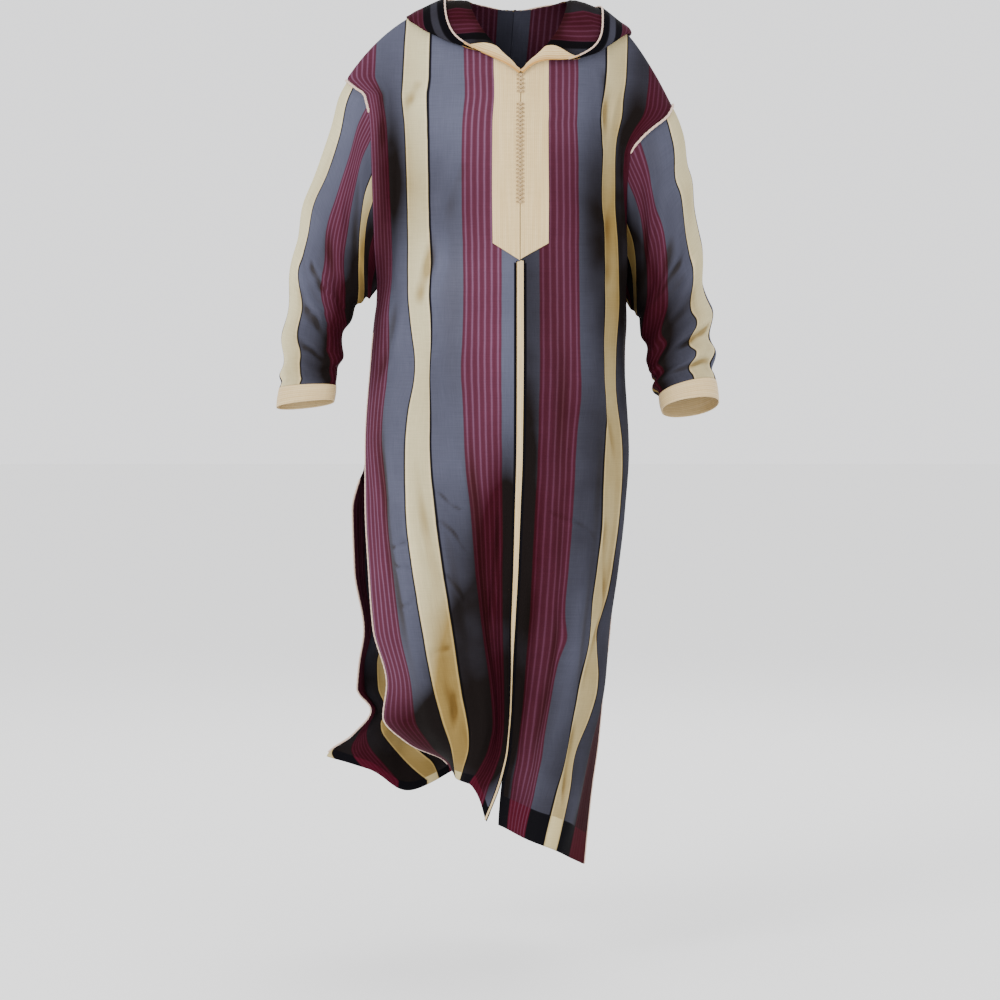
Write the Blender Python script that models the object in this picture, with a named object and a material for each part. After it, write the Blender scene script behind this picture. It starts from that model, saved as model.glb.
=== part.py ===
"""Hooded robe of striped cloth, hood down, its rim rolled round the neck as a collar.

Frame: metres, +Z up, -Y the wearer's front, +X the wearer's left side.
The origin lies between the shoulders, where the robe is carried.
All sizes below are millimetres and are scaled once, when a mesh is made.
"""
import math

import bpy
import numpy as np
from mathutils import Vector
from mathutils.bvhtree import BVHTree

MM = 0.001

# Cloth and trim
CLOTH = 1.6              # wall of the striped cloth
TRIM = 1.2               # wall of bands laid on the cloth
SEAM = 0.46              # space between two pieces at a seam
LAY = 0.45               # space under a band laid on a panel
CORD = 1.6               # radius of the edge cord
BUTTON_RADIUS = 2.7
BUTTON_STEP = 6.4

# Flat widths across a panel, measured from the centre seam
HALF_WIDTH = 288.0
NECK_SIDE = 78.0         # where the neck opening reaches the shoulder line
GUIDES = (0.0, 86.0, 182.0, 288.0)
COLUMNS = (0, 8, 25, 43, 60, 78, 99, 120, 142, 162, 182, 206, 230, 259, 288)
PLACKET_COLUMNS = 4      # the placket covers the first columns, out to 43 mm
SHOULDER_ROUND = 120.0   # drop over which the shoulder turns into the front

# Rows down a panel
ARMHOLE_ROWS = 11
SKIRT_ROWS = 18

# Neck opening, height at each flat distance from the centre
NECK_FRONT = ((0, -60), (8, -51), (25, -32), (43, -9), (60, 16), (78, 58))
NECK_BACK = ((0, 50), (25, 51), (43, 53), (60, 55), (78, 58))

# The shoulder line falls from the neck side to the armhole: drop and power
SHOULDER = {"right": (125.0, 2.2), "left": (164.0, 1.7)}
UNDERARM = {"right": -400.0, "left": -419.0}
SLIT_TOP = {"right": -668.0, "left": -700.0}

# Hem height at each guide line
HEM = {
    ("right", "front"): (-1244, -1186, -1181, -1168),
    ("left", "front"): (-1250, -1265, -1281, -1313),
    ("right", "back"): (-1172, -1222, -1186, -1167),
    ("left", "back"): (-1172, -1225, -1262, -1290),
}

# One row per height: sideways place (x) and depth (y) of the four guide lines
PANEL_COLUMNS = ("z", "x0", "x1", "x2", "x3", "y0", "y1", "y2", "y3")
PANELS = {
    ("right", "front"): (
        (60, 7, -85, -172, -272, -92, -60, -35, -40),
        (-60, 7, -83, -178, -272, -92, -64, -40, -42),
        (-80, 7, -82, -179, -254, -98, -72, -44, -48),
        (-92, 7, -82, -180, -239, -101, -78, -48, -60),
        (-144, 6, -86, -175, -231, -116, -95, -58, -58),
        (-230, 6, -87, -171, -228, -128, -112, -72, -60),
        (-330, 6, -85, -169, -225, -138, -125, -82, -48),
        (-400, 6, -84, -169, -222, -142, -132, -90, -18),
        (-500, 6, -85, -163, -230, -150, -142, -98, -24),
        (-655, 5, -82, -173, -240, -155, -150, -102, -25),
        (-750, 2, -73, -169, -239, -150, -152, -106, -30),
        (-845, -1, -65, -157, -234, -140, -150, -112, -30),
        (-940, -5, -54, -142, -227, -118, -140, -110, -24),
        (-1030, -7, -42, -127, -206, -92, -112, -96, -8),
        (-1085, -9, -38, -114, -212, -78, -92, -80, 4),
        (-1130, -12, -46, -102, -172, -70, -76, -58, 24),
        (-1165, -19, -62, -98, -112, -66, -62, -24, 66),
        (-1190, -26, -77, -96, -104, -66, -52, -8, 80),
        (-1250, -50, -84, -96, -104, -70, -50, 0, 84),
    ),
    ("left", "front"): (
        (60, 7, 91, 178, 250, -92, -60, -30, -45),
        (-60, 7, 99, 174, 250, -92, -64, -34, -45),
        (-106, 7, 98, 167, 248, -104, -82, -40, -46),
        (-124, 7, 98, 164, 240, -110, -88, -43, -48),
        (-144, 6, 97, 161, 216, -116, -95, -46, -54),
        (-163, 6, 97, 159, 196, -120, -101, -48, -56),
        (-188, 6, 97, 158, 181, -124, -107, -50, -52),
        (-256, 6, 98, 157, 176, -130, -118, -53, -36),
        (-336, 6, 98, 162, 176, -138, -129, -60, -2),
        (-419, 6, 99, 163, 178, -143, -139, -66, 44),
        (-500, 6, 100, 158, 174, -150, -144, -72, 42),
        (-655, 5, 94, 166, 172, -155, -154, -80, 28),
        (-750, 2, 89, 162, 164, -150, -162, -90, 20),
        (-845, -1, 81, 150, 158, -140, -175, -105, 10),
        (-940, -5, 71, 134, 151, -118, -180, -111, 0),
        (-1030, -7, 57, 125, 141, -92, -168, -114, -6),
        (-1130, -12, 38, 98, 130, -70, -142, -130, -30),
        (-1190, -24, 29, 84, 121, -64, -128, -138, -42),
        (-1260, -29, 14, 68, 113, -68, -120, -146, -52),
        (-1320, -30, 8, 52, 107, -70, -118, -150, -60),
    ),
    ("right", "back"): (
        (60, -2, -86, -172, -272, 95, 62, 50, 40),
        (-60, -12, -90, -178, -272, 110, 92, 62, 40),
        (-92, -16, -93, -180, -240, 114, 99, 72, 44),
        (-144, -22, -99, -182, -231, 119, 107, 84, 46),
        (-230, -33, -112, -188, -228, 125, 115, 92, 46),
        (-330, -43, -124, -194, -225, 121, 112, 90, 26),
        (-400, -46, -128, -196, -222, 116, 106, 84, -18),
        (-500, -48, -132, -202, -230, 113, 105, 80, -24),
        (-655, -50, -136, -210, -240, 126, 116, 86, -25),
        (-700, -50, -137, -214, -250, 132, 121, 92, -8),
        (-753, -50, -138, -218, -262, 139, 127, 98, 20),
        (-851, -50, -140, -219, -260, 151, 139, 112, 54),
        (-950, -50, -143, -216, -246, 165, 152, 126, 86),
        (-1010, -52, -146, -228, -255, 174, 160, 136, 106),
        (-1050, -54, -148, -226, -258, 180, 166, 142, 120),
        (-1085, -58, -152, -214, -236, 186, 172, 148, 134),
        (-1130, -64, -162, -236, -268, 190, 176, 160, 160),
        (-1167, -70, -170, -244, -312, 192, 176, 168, 186),
        (-1230, -76, -178, -236, -316, 194, 170, 172, 190),
    ),
    ("left", "back"): (
        (60, -2, 86, 178, 250, 95, 64, 50, 40),
        (-60, -12, 74, 172, 250, 110, 94, 66, 40),
        (-106, -17, 68, 166, 248, 115, 102, 76, 40),
        (-124, -20, 66, 163, 240, 117, 105, 80, 52),
        (-144, -22, 64, 160, 217, 119, 108, 85, 62),
        (-188, -28, 59, 154, 184, 123, 114, 95, 80),
        (-256, -36, 51, 147, 178, 125, 119, 104, 90),
        (-336, -43, 44, 141, 178, 121, 118, 108, 84),
        (-419, -46, 40, 138, 178, 115, 114, 106, 44),
        (-500, -48, 38, 136, 174, 113, 113, 104, 42),
        (-655, -50, 36, 134, 172, 126, 124, 104, 28),
        (-750, -50, 34, 128, 162, 138, 134, 108, 34),
        (-850, -50, 32, 120, 154, 151, 144, 108, 42),
        (-950, -50, 31, 113, 146, 165, 154, 106, 46),
        (-1050, -54, 30, 104, 136, 180, 162, 100, 42),
        (-1130, -64, 28, 98, 127, 190, 168, 94, 34),
        (-1300, -70, 24, 86, 106, 192, 172, 82, 18),
    ),
}

# Long soft folds: side, face, flat place at top and foot, top and foot height, width, depth
FOLDS = (
    ("right", "front", 60, 52, -420, -1120, 16, -5.0),
    ("right", "front", 118, 104, -360, -1150, 20, 5.5),
    ("right", "front", 160, 150, -420, -1150, 15, -5.0),
    ("right", "front", 214, 205, -430, -1120, 20, 6.0),
    ("right", "front", 250, 240, -130, -380, 18, -5.0),
    ("right", "front", 190, 210, -110, -420, 18, 5.0),
    ("left", "front", 56, 60, -430, -1200, 18, -6.0),
    ("left", "front", 112, 116, -380, -1220, 18, 6.0),
    ("left", "front", 152, 156, -120, -1240, 15, -5.0),
    ("left", "front", 208, 214, -420, -1240, 18, 5.0),
    ("left", "front", 206, 232, -140, -400, 16, 5.5),
    ("right", "back", 40, 36, -420, -1150, 22, -8.0),
    ("right", "back", 96, 100, -300, -1190, 22, 8.0),
    ("right", "back", 150, 156, -420, -1170, 20, -7.0),
    ("right", "back", 220, 226, -150, -1130, 20, 6.0),
    ("left", "back", 44, 40, -420, -1180, 22, -8.0),
    ("left", "back", 100, 98, -300, -1210, 22, 8.0),
    ("left", "back", 156, 150, -420, -1230, 20, -7.0),
    ("left", "back", 222, 226, -150, -1240, 20, 6.0),
)

# Sleeve rings: outer fold (x, z), inner fold (x, z), middle depth, half depth, front lift
RING_COLUMNS = ("ox", "oz", "ix", "iz", "y", "half", "lift")
SLEEVES = {
    "right": (
        (-270, -68, -222, -400, -8, 60, 0),
        (-284, -95, -229, -409, -10, 61, 0),
        (-295, -140, -234, -414, -12, 60, 0),
        (-315, -202, -236, -417, -14, 58, 0),
        (-337, -266, -241, -425, -18, 56, 0),
        (-350, -321, -246, -436, -24, 53, 0),
        (-359, -385, -258, -457, -32, 49, 1),
        (-366, -449, -270, -484, -42, 45, 2),
        (-369, -496, -278, -514, -50, 42, 3),
        (-371, -534, -283, -537, -56, 40, 4),
        (-375, -557, -285, -553, -60, 39, 5),
    ),
    "left": (
        (248, -106, 180, -419, 18, 66, 0),
        (259, -129, 187, -431, 18, 66, 0),
        (270, -177, 190, -433, 18, 65, 0),
        (279, -224, 192, -435, 16, 63, 0),
        (288, -275, 196, -443, 13, 60, 0),
        (295, -332, 198, -455, 8, 56, 2),
        (301, -388, 204, -477, -2, 52, 4),
        (309, -434, 210, -503, -16, 48, 7),
        (311, -479, 214, -527, -32, 45, 10),
        (312, -514, 218, -549, -48, 43, 13),
        (317, -548, 226, -570, -60, 42, 15),
    ),
}
SLEEVE_RINGS = 16
CUFF_END = {
    "right": (-379, -588, -288, -578, -64, 40, 6),
    "left": (320, -580, 230, -593, -72, 42, 15),
}

# Cross folds on the sleeves: side, place along (0 armhole, 1 cuff), width, depth, lean
SLEEVE_FOLDS = (
    ("right", 0.30, 0.05, 4.0, 0.10),
    ("right", 0.48, 0.05, 4.5, 0.12),
    ("right", 0.66, 0.05, 4.5, 0.10),
    ("right", 0.84, 0.04, 4.0, 0.05),
    ("left", 0.26, 0.05, 4.0, -0.10),
    ("left", 0.44, 0.05, 4.5, -0.12),
    ("left", 0.62, 0.05, 5.0, -0.10),
    ("left", 0.76, 0.04, 6.0, -0.06),
    ("left", 0.90, 0.04, 6.0, -0.04),
)

# Hood: share of the way round the neck, outer fold and rim places, height of each layer
HOOD_COLUMNS = ("u", "fx", "fy", "fz", "bx", "by", "bz", "low", "high", "roll")
HOOD = {
    "right": (
        (0.00, -2, -98, -67, -3, -98, -68, 2.2, 3.0, 0.5),
        (0.12, -12, -99, -57, -14, -99, -58, 2.5, 3.5, 0.8),
        (0.24, -40, -88, -36, -41, -88, -36, 3.0, 5.0, 1.2),
        (0.36, -70, -70, -22, -69, -68, -20, 4.0, 9.0, 3.0),
        (0.46, -104, -44, -8, -86, -46, 4, 5.0, 15.0, 6.0),
        (0.56, -166, -10, 30, -108, -12, 62, 5.0, 20.0, 8.0),
        (0.70, -158, 84, -18, -106, 62, 70, 5.0, 24.0, 9.0),
        (0.85, -96, 128, -190, -62, 112, 62, 5.0, 26.0, 9.0),
        (1.00, -26, 142, -345, -6, 128, 50, 5.0, 26.0, 9.0),
    ),
    "left": (
        (0.00, 16, -98, -67, 17, -98, -68, 2.2, 3.0, 0.5),
        (0.12, 28, -99, -57, 29, -99, -58, 2.5, 3.5, 0.8),
        (0.24, 52, -88, -36, 53, -88, -36, 3.0, 5.0, 1.2),
        (0.36, 84, -68, -22, 83, -66, -20, 4.0, 9.0, 3.0),
        (0.46, 132, -40, -10, 114, -44, -2, 5.0, 15.0, 6.0),
        (0.56, 176, -6, 22, 130, -8, 50, 5.0, 20.0, 8.0),
        (0.70, 152, 86, -20, 116, 62, 66, 5.0, 24.0, 9.0),
        (0.85, 60, 132, -190, 62, 112, 62, 5.0, 26.0, 9.0),
        (1.00, -26, 142, -345, -6, 128, 50, 5.0, 26.0, 9.0),
    ),
}
HOOD_STEPS = 12
FACING_WIDTH = 18.0
FACING_STATIONS = 8      # the facing lies on the front part of the rim

# Button groups: first height, last height
BUTTON_GROUPS = ((-66, -96), (-112, -268))
PLACKET_END = -330.0     # where the sides of the placket end
PLACKET_TIP = -357.0     # its pointed end

# Colours of the real cloth and trim, linear light
COLOURS = {
    "striped_cloth": (0.075, 0.060, 0.072),
    "cream_band": (0.760, 0.620, 0.350),
    "placket_cloth": (0.720, 0.560, 0.350),
    "edge_cord": (0.720, 0.510, 0.420),
    "button_thread": (0.560, 0.330, 0.220),
}


def clear_scene():
    """Remove every object of the opened scene."""
    for item in list(bpy.data.objects):
        bpy.data.objects.remove(item, do_unlink=True)


def make_materials():
    """One plain material for each real material."""
    made = {}
    for name, colour in COLOURS.items():
        material = bpy.data.materials.new(name)
        material.use_nodes = True
        shader = material.node_tree.nodes["Principled BSDF"]
        shader.inputs["Base Color"].default_value = (*colour, 1.0)
        shader.inputs["Roughness"].default_value = 0.8
        made[name] = material
    return made


def smooth(at, places, values):
    """Smooth line through the values that never overshoots them."""
    places = np.asarray(places, float)
    values = np.asarray(values, float)
    if places[0] > places[-1]:
        places = places[::-1]
        values = values[::-1]
    step = np.diff(places)
    slope = np.diff(values) / step
    tangent = np.empty_like(values)
    tangent[0] = slope[0]
    tangent[-1] = slope[-1]
    left = slope[:-1]
    right = slope[1:]
    same = left * right > 0
    bottom = np.where(same, left + right, 1.0)
    tangent[1:-1] = np.where(same, 2 * left * right / bottom, 0.0)
    at = np.clip(np.asarray(at, float), places[0], places[-1])
    k = np.clip(np.searchsorted(places, at) - 1, 0, len(step) - 1)
    t = (at - places[k]) / step[k]
    return hermite(values[k], values[k + 1], tangent[k] * step[k], tangent[k + 1] * step[k], t)


def hermite(start, end, start_slope, end_slope, t):
    """Cubic between two values with given slopes."""
    t2 = t * t
    t3 = t2 * t
    return (
        start * (2 * t3 - 3 * t2 + 1)
        + start_slope * (t3 - 2 * t2 + t)
        + end * (3 * t2 - 2 * t3)
        + end_slope * (t3 - t2)
    )


def ease(value):
    """Smooth step from 0 to 1."""
    value = np.clip(value, 0.0, 1.0)
    return value * value * (3 - 2 * value)


def unit(vectors):
    """Vectors scaled to length one."""
    length = np.linalg.norm(vectors, axis=-1, keepdims=True)
    return vectors / np.maximum(length, 1e-9)


def column(rows, names, name):
    """One named column of a table."""
    place = names.index(name)
    return np.array([row[place] for row in rows], float)


def shoulder_line(side, s):
    """Height of the shoulder line at a flat distance from the centre."""
    drop, power = SHOULDER[side]
    q = np.clip((s - NECK_SIDE) / (HALF_WIDTH - NECK_SIDE), 0.0, 1.0)
    return 58.0 - drop * q ** power


def top_edge(side, face, s):
    """Height of the top edge of a panel: neck opening, then shoulder line."""
    neck = NECK_FRONT if face == "front" else NECK_BACK
    low = smooth(np.minimum(s, NECK_SIDE), [p[0] for p in neck], [p[1] for p in neck])
    return np.where(s < NECK_SIDE, low, shoulder_line(side, s))


def hem_edge(side, face, s):
    """Height of the hem at a flat distance from the centre."""
    return smooth(s, GUIDES, HEM[(side, face)])


def guide_points(side, face, z):
    """Places of the four guide lines of a panel at the heights z."""
    rows = PANELS[(side, face)]
    heights = column(rows, PANEL_COLUMNS, "z")
    found = []
    for k in range(4):
        x = smooth(z, heights, column(rows, PANEL_COLUMNS, "x%d" % k))
        y = smooth(z, heights, column(rows, PANEL_COLUMNS, "y%d" % k))
        found.append(np.stack([x, y], axis=-1))
    return found


def base_point(side, face, s, z):
    """Smooth panel surface at flat place s and height z, before folds."""
    other = "left" if side == "right" else "right"
    turned = "back" if face == "front" else "front"
    own = guide_points(side, face, z)
    mirror = guide_points(other, face, z)
    behind = guide_points(side, turned, z)
    slopes = [
        (own[1] - mirror[1]) / 172.0,
        (own[2] - own[0]) / 182.0,
        (own[3] - own[1]) / 202.0,
    ]
    free = (own[3] - own[2]) / 106.0
    joined = (behind[2] - own[2]) / 212.0
    under = ease((UNDERARM[side] - z + 20.0) / 70.0)
    above = ease((z - SLIT_TOP[side] + 80.0) / 120.0)
    weight = (under * above)[..., None]
    slopes.append(free * (1 - weight) + joined * weight)
    xy = np.zeros(s.shape + (2,))
    for k in range(3):
        width = GUIDES[k + 1] - GUIDES[k]
        t = (s - GUIDES[k]) / width
        inside = (t >= 0) & (t <= 1)
        part = hermite(own[k], own[k + 1], slopes[k] * width, slopes[k + 1] * width, t[..., None])
        xy = np.where(inside[..., None], part, xy)
    ridge = shoulder_line(side, s)
    if face == "back":
        ridge = ridge + 42.0 * np.clip(1 - s / NECK_SIDE, 0.0, 1.0) ** 1.4
    drop = np.clip((ridge - z) / SHOULDER_ROUND, 0.0, 1.0)
    turn = np.sqrt(np.maximum(0.0, 1 - (1 - drop) ** 2))
    return np.stack([xy[..., 0], xy[..., 1] * turn, z], axis=-1)


def fold_depth(side, face, s, z):
    """How far the long folds push the cloth out at a place."""
    depth = np.zeros(s.shape)
    for f_side, f_face, s_top, s_foot, z_top, z_foot, width, push in FOLDS:
        if (f_side, f_face) != (side, face):
            continue
        t = np.clip((z_top - z) / (z_top - z_foot), 0.0, 1.0)
        middle = s_top + (s_foot - s_top) * t
        reach = ease((z_top - z) / 160.0 + 0.2) * ease((z - z_foot) / 90.0 + 0.4)
        depth += push * np.exp(-((s - middle) / width) ** 2) * reach
    return depth * ease(s / 45.0) * ease((HALF_WIDTH - s) / 40.0)


def row_shares(side, face, s):
    """Share of the way from top edge to hem of each row, at each column."""
    top = top_edge(side, face, np.array([HALF_WIDTH]))[0]
    hem = HEM[(side, face)][3]
    under = UNDERARM[side]
    slit = SLIT_TOP[side]
    arm = np.linspace(0.0, 1.0, ARMHOLE_ROWS + 1)
    arm = arm ** 1.25
    seam = [top + (under - top) * a for a in arm]
    joined = 6
    seam += [under + (slit - under) * (i + 1) / joined for i in range(joined)]
    rest = SKIRT_ROWS - joined
    seam += [slit + (hem - slit) * (i + 1) / rest for i in range(rest)]
    side_share = (top - np.array(seam)) / (top - hem)
    count = ARMHOLE_ROWS + SKIRT_ROWS
    centre_top = top_edge(side, face, np.array([0.0]))[0]
    centre_hem = HEM[("right", face)][0]
    if face == "front":
        marks = list(np.linspace(centre_top, PLACKET_END, ARMHOLE_ROWS - 1))
        marks.append(PLACKET_TIP)
    else:
        marks = list(centre_top + (-400.0 - centre_top) * arm[:-1])
    left_rows = count + 1 - len(marks)
    last = marks[-1]
    marks += [last + (centre_hem - last) * (i + 1) / left_rows for i in range(left_rows)]
    centre_share = (centre_top - np.array(marks)) / (centre_top - centre_hem)
    blend = (s / HALF_WIDTH)[None, :]
    return centre_share[:, None] * (1 - blend) + side_share[:, None] * blend


def surface_normals(grid, around=False):
    """Vertex normals of a grid of points."""
    if around:
        across = np.roll(grid, -1, axis=1) - np.roll(grid, 1, axis=1)
    else:
        across = np.gradient(grid, axis=1)
    down = np.gradient(grid, axis=0)
    return unit(np.cross(across, down))


def panel_grid(side, face):
    """Outer surface of a body panel: rows down, columns from the centre."""
    s = np.array(COLUMNS, float)
    share = row_shares(side, face, s)
    top = top_edge(side, face, s)[None, :]
    hem = hem_edge(side, face, s)[None, :]
    z = top + (hem - top) * share
    flat = np.broadcast_to(s[None, :], z.shape)
    base = base_point(side, face, flat, z)
    facing = surface_normals(base)
    sign = -1.0 if face == "front" else 1.0
    if np.mean(facing[..., 1]) * sign < 0:
        facing = -facing
    return base + facing * fold_depth(side, face, flat, z)[..., None], facing


def ring_at(rows, share):
    """Ring sizes at a share of the way along a sleeve."""
    places = np.linspace(0.0, 1.0, len(rows))
    return [smooth(share, places, column(rows, RING_COLUMNS, name)) for name in RING_COLUMNS]


def ring_points(sizes, angles):
    """Points of one sleeve ring; angle 0 is the outer fold, pi the inner one."""
    ox, oz, ix, iz, y, half, lift = sizes
    c = np.cos(angles)
    s = np.sin(angles)
    wide = np.sign(c) * np.abs(c) ** 0.9
    deep = np.sign(s) * np.abs(s) ** 0.9
    x = (ox + ix) / 2 + (ox - ix) / 2 * wide
    z = (oz + iz) / 2 + (oz - iz) / 2 * wide + lift * deep
    return np.stack([x, y - half * deep, z], axis=-1)


def sleeve_grid(side, front, back):
    """Outer surface of a sleeve from the armhole to the cuff."""
    edge_front = front[: ARMHOLE_ROWS + 1, -1]
    edge_back = back[: ARMHOLE_ROWS + 1, -1]
    armhole = np.concatenate([edge_front, edge_back[-2:0:-1]])
    step = np.linalg.norm(np.diff(edge_front, axis=0), axis=1)
    run = np.concatenate([[0.0], np.cumsum(step)]) / step.sum()
    angles = np.concatenate([run * math.pi, 2 * math.pi - run[-2:0:-1] * math.pi])
    rows = SLEEVES[side]
    first = ring_points(ring_at(rows, 0.0), angles)
    shift = armhole - first
    rings = []
    for k in range(SLEEVE_RINGS + 1):
        share = k / SLEEVE_RINGS
        ring = ring_points(ring_at(rows, share), angles)
        ring = ring + shift * (1 - ease(share / 0.55))
        middle = ring.mean(axis=0)
        push = np.zeros(len(angles))
        for f_side, place, width, depth, lean in SLEEVE_FOLDS:
            if f_side == side:
                here = place + lean * np.cos(angles)
                shape = np.exp(-((share - here) / width) ** 2)
                trough = np.exp(-((share - here - width * 1.6) / width) ** 2)
                push += depth * (shape - 0.7 * trough)
        push *= ease(share / 0.12) * ease((1 - share) / 0.06)
        out = unit(ring - middle)
        rings.append(ring + out * push[:, None])
    return np.array(rings), angles


def cuff_grid(side, sleeve_end, angles):
    """Outer surface of the band at the sleeve's end."""
    last = ring_points(CUFF_END[side], angles)
    return np.array([sleeve_end, sleeve_end * 0.5 + last * 0.5, last])


def share_normals(pieces):
    """Average the normals where pieces meet, so the walls stay mitred."""
    sums = {}
    counts = {}
    for piece in pieces:
        for point in piece["grid"].reshape(-1, 3):
            key = tuple(np.round(point, 2))
            counts[key] = counts.get(key, 0) + 1
    for piece in pieces:
        points = piece["grid"].reshape(-1, 3)
        normals = piece["normals"].reshape(-1, 3)
        for point, normal in zip(points, normals):
            key = tuple(np.round(point, 2))
            weight = 2.0 if piece["around"] and counts[key] == 3 else 1.0
            sums[key] = sums.get(key, 0.0) + normal * weight
    for piece in pieces:
        points = piece["grid"].reshape(-1, 3)
        joined = np.array([sums[tuple(np.round(point, 2))] for point in points])
        piece["normals"] = unit(joined).reshape(piece["grid"].shape)


def edge_pulls(grid, around):
    """Directions from each edge point into the surface; zero elsewhere."""
    out = np.zeros_like(grid)
    out[0] += unit(grid[1] - grid[0])
    out[-1] += unit(grid[-2] - grid[-1])
    if not around:
        out[:, 0] += unit(grid[:, 1] - grid[:, 0])
        out[:, -1] += unit(grid[:, -2] - grid[:, -1])
    return out


def share_pulls(pieces):
    """Turn the edge directions away from the piece on the other side of a seam."""
    sums = {}
    counts = {}
    for piece in pieces:
        piece["pulls"] = edge_pulls(piece["grid"], piece["around"])
        points = piece["grid"].reshape(-1, 3)
        pulls = piece["pulls"].reshape(-1, 3)
        for point, pull in zip(points, pulls):
            if pull.any():
                key = tuple(np.round(point, 2))
                sums[key] = sums.get(key, 0.0) + pull
                counts[key] = counts.get(key, 0) + 1
    for piece in pieces:
        points = piece["grid"].reshape(-1, 3)
        pulls = piece["pulls"].reshape(-1, 3).copy()
        for k, point in enumerate(points):
            key = tuple(np.round(point, 2))
            if pulls[k].any() and counts[key] > 1:
                away = pulls[k] * counts[key] - sums[key]
                pulls[k] = unit(away) * max(1.0, np.linalg.norm(pulls[k]))
        piece["pulls"] = pulls.reshape(piece["grid"].shape)


def wall_mesh(outer, inner, around):
    """Closed wall between two grids of the same size."""
    rows, cols = outer.shape[:2]
    points = np.concatenate([outer.reshape(-1, 3), inner.reshape(-1, 3)])
    half = rows * cols
    faces = []
    span = cols if around else cols - 1
    for i in range(rows - 1):
        for j in range(span):
            n = (j + 1) % cols
            a = i * cols + j
            b = i * cols + n
            c = (i + 1) * cols + n
            d = (i + 1) * cols + j
            faces += [(a, b, c), (a, c, d)]
            faces += [(c + half, b + half, a + half), (d + half, c + half, a + half)]
    for j in range(span):
        n = (j + 1) % cols
        low = (rows - 1) * cols
        faces.append((n, j, j + half, n + half))
        faces.append((low + j, low + n, low + n + half, low + j + half))
    if not around:
        for i in range(rows - 1):
            a = i * cols
            d = (i + 1) * cols
            b = a + cols - 1
            c = d + cols - 1
            faces.append((a, d, d + half, a + half))
            faces.append((c, b, b + half, c + half))
    return points, faces


def signed_volume(points, faces):
    """Volume of a closed mesh; negative when its faces point inwards."""
    total = 0.0
    for face in faces:
        for k in range(1, len(face) - 1):
            a = points[face[0]]
            b = points[face[k]]
            c = points[face[k + 1]]
            total += np.dot(a, np.cross(b, c))
    return total / 6.0


def add_solid(name, points, faces, material):
    """Make one named object from points in millimetres."""
    if signed_volume(points, faces) < 0:
        faces = [tuple(reversed(face)) for face in faces]
    mesh = bpy.data.meshes.new(name)
    mesh.from_pydata([tuple(p) for p in np.asarray(points) * MM], [], faces)
    mesh.update()
    mesh.materials.append(material)
    made = bpy.data.objects.new(name, mesh)
    COLLECTION.objects.link(made)
    return made


def add_wall(name, outer, normals, thickness, around, material, pulls=None):
    """Wall of even thickness inside an outer surface."""
    if pulls is None:
        pulls = edge_pulls(outer, around)
    skin = outer + pulls * SEAM / 2
    inner = skin - normals * thickness
    points, faces = wall_mesh(skin, inner, around)
    return add_solid(name, points, faces, material)


def add_cord(name, path, radius, material):
    """Round cord along a path, with closed ends."""
    curve = bpy.data.curves.new(name, "CURVE")
    curve.dimensions = "3D"
    curve.bevel_depth = radius * MM
    curve.bevel_resolution = 1
    curve.use_fill_caps = True
    spline = curve.splines.new("POLY")
    spline.points.add(len(path) - 1)
    for point, place in zip(spline.points, path):
        point.co = (*(np.asarray(place) * MM), 1.0)
    curve.materials.append(material)
    made = bpy.data.objects.new(name, curve)
    COLLECTION.objects.link(made)
    return made


def add_button(name, centre, material):
    """Small knotted ball button."""
    rings = 4
    around = 8
    points = [np.array(centre) + (0, 0, BUTTON_RADIUS)]
    for i in range(1, rings):
        polar = math.pi * i / rings
        for j in range(around):
            turn = 2 * math.pi * j / around
            points.append(np.array(centre) + BUTTON_RADIUS * np.array([
                math.sin(polar) * math.cos(turn),
                math.sin(polar) * math.sin(turn),
                math.cos(polar),
            ]))
    points.append(np.array(centre) - (0, 0, BUTTON_RADIUS))
    faces = []
    for j in range(around):
        n = (j + 1) % around
        faces.append((0, 1 + j, 1 + n))
        low = 1 + (rings - 2) * around
        faces.append((len(points) - 1, low + n, low + j))
        for i in range(rings - 2):
            a = 1 + i * around
            faces.append((a + j, a + around + j, a + around + n, a + n))
    return add_solid(name, np.array(points), faces, material)


def surface_tree(grids):
    """Search tree over the outer surfaces of the body."""
    points = []
    faces = []
    for grid, facing in grids:
        start = len(points)
        rows, cols = grid.shape[:2]
        points += [Vector(p) for p in grid.reshape(-1, 3)]
        down = np.cross(grid[1, 1] - grid[1, 0], grid[2, 0] - grid[1, 0])
        keep = np.dot(down, facing[1, 0]) > 0
        for i in range(rows - 1):
            for j in range(cols - 1):
                a = start + i * cols + j
                b = a + 1
                c = b + cols
                d = a + cols
                halves = [(a, b, c), (a, c, d)] if keep else [(c, b, a), (d, c, a)]
                faces += halves
    return BVHTree.FromPolygons(points, faces)


def lift_clear(tree, points, clearance):
    """Push points out until they stand clear of the body."""
    out = []
    for point, wanted in zip(points, clearance):
        place, normal, _, _ = tree.find_nearest(Vector(point))
        off = Vector(point) - place
        height = off.dot(normal)
        if height < wanted:
            point = np.array(point) + np.array(normal) * (wanted - height)
        out.append(point)
    return np.array(out)


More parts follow.
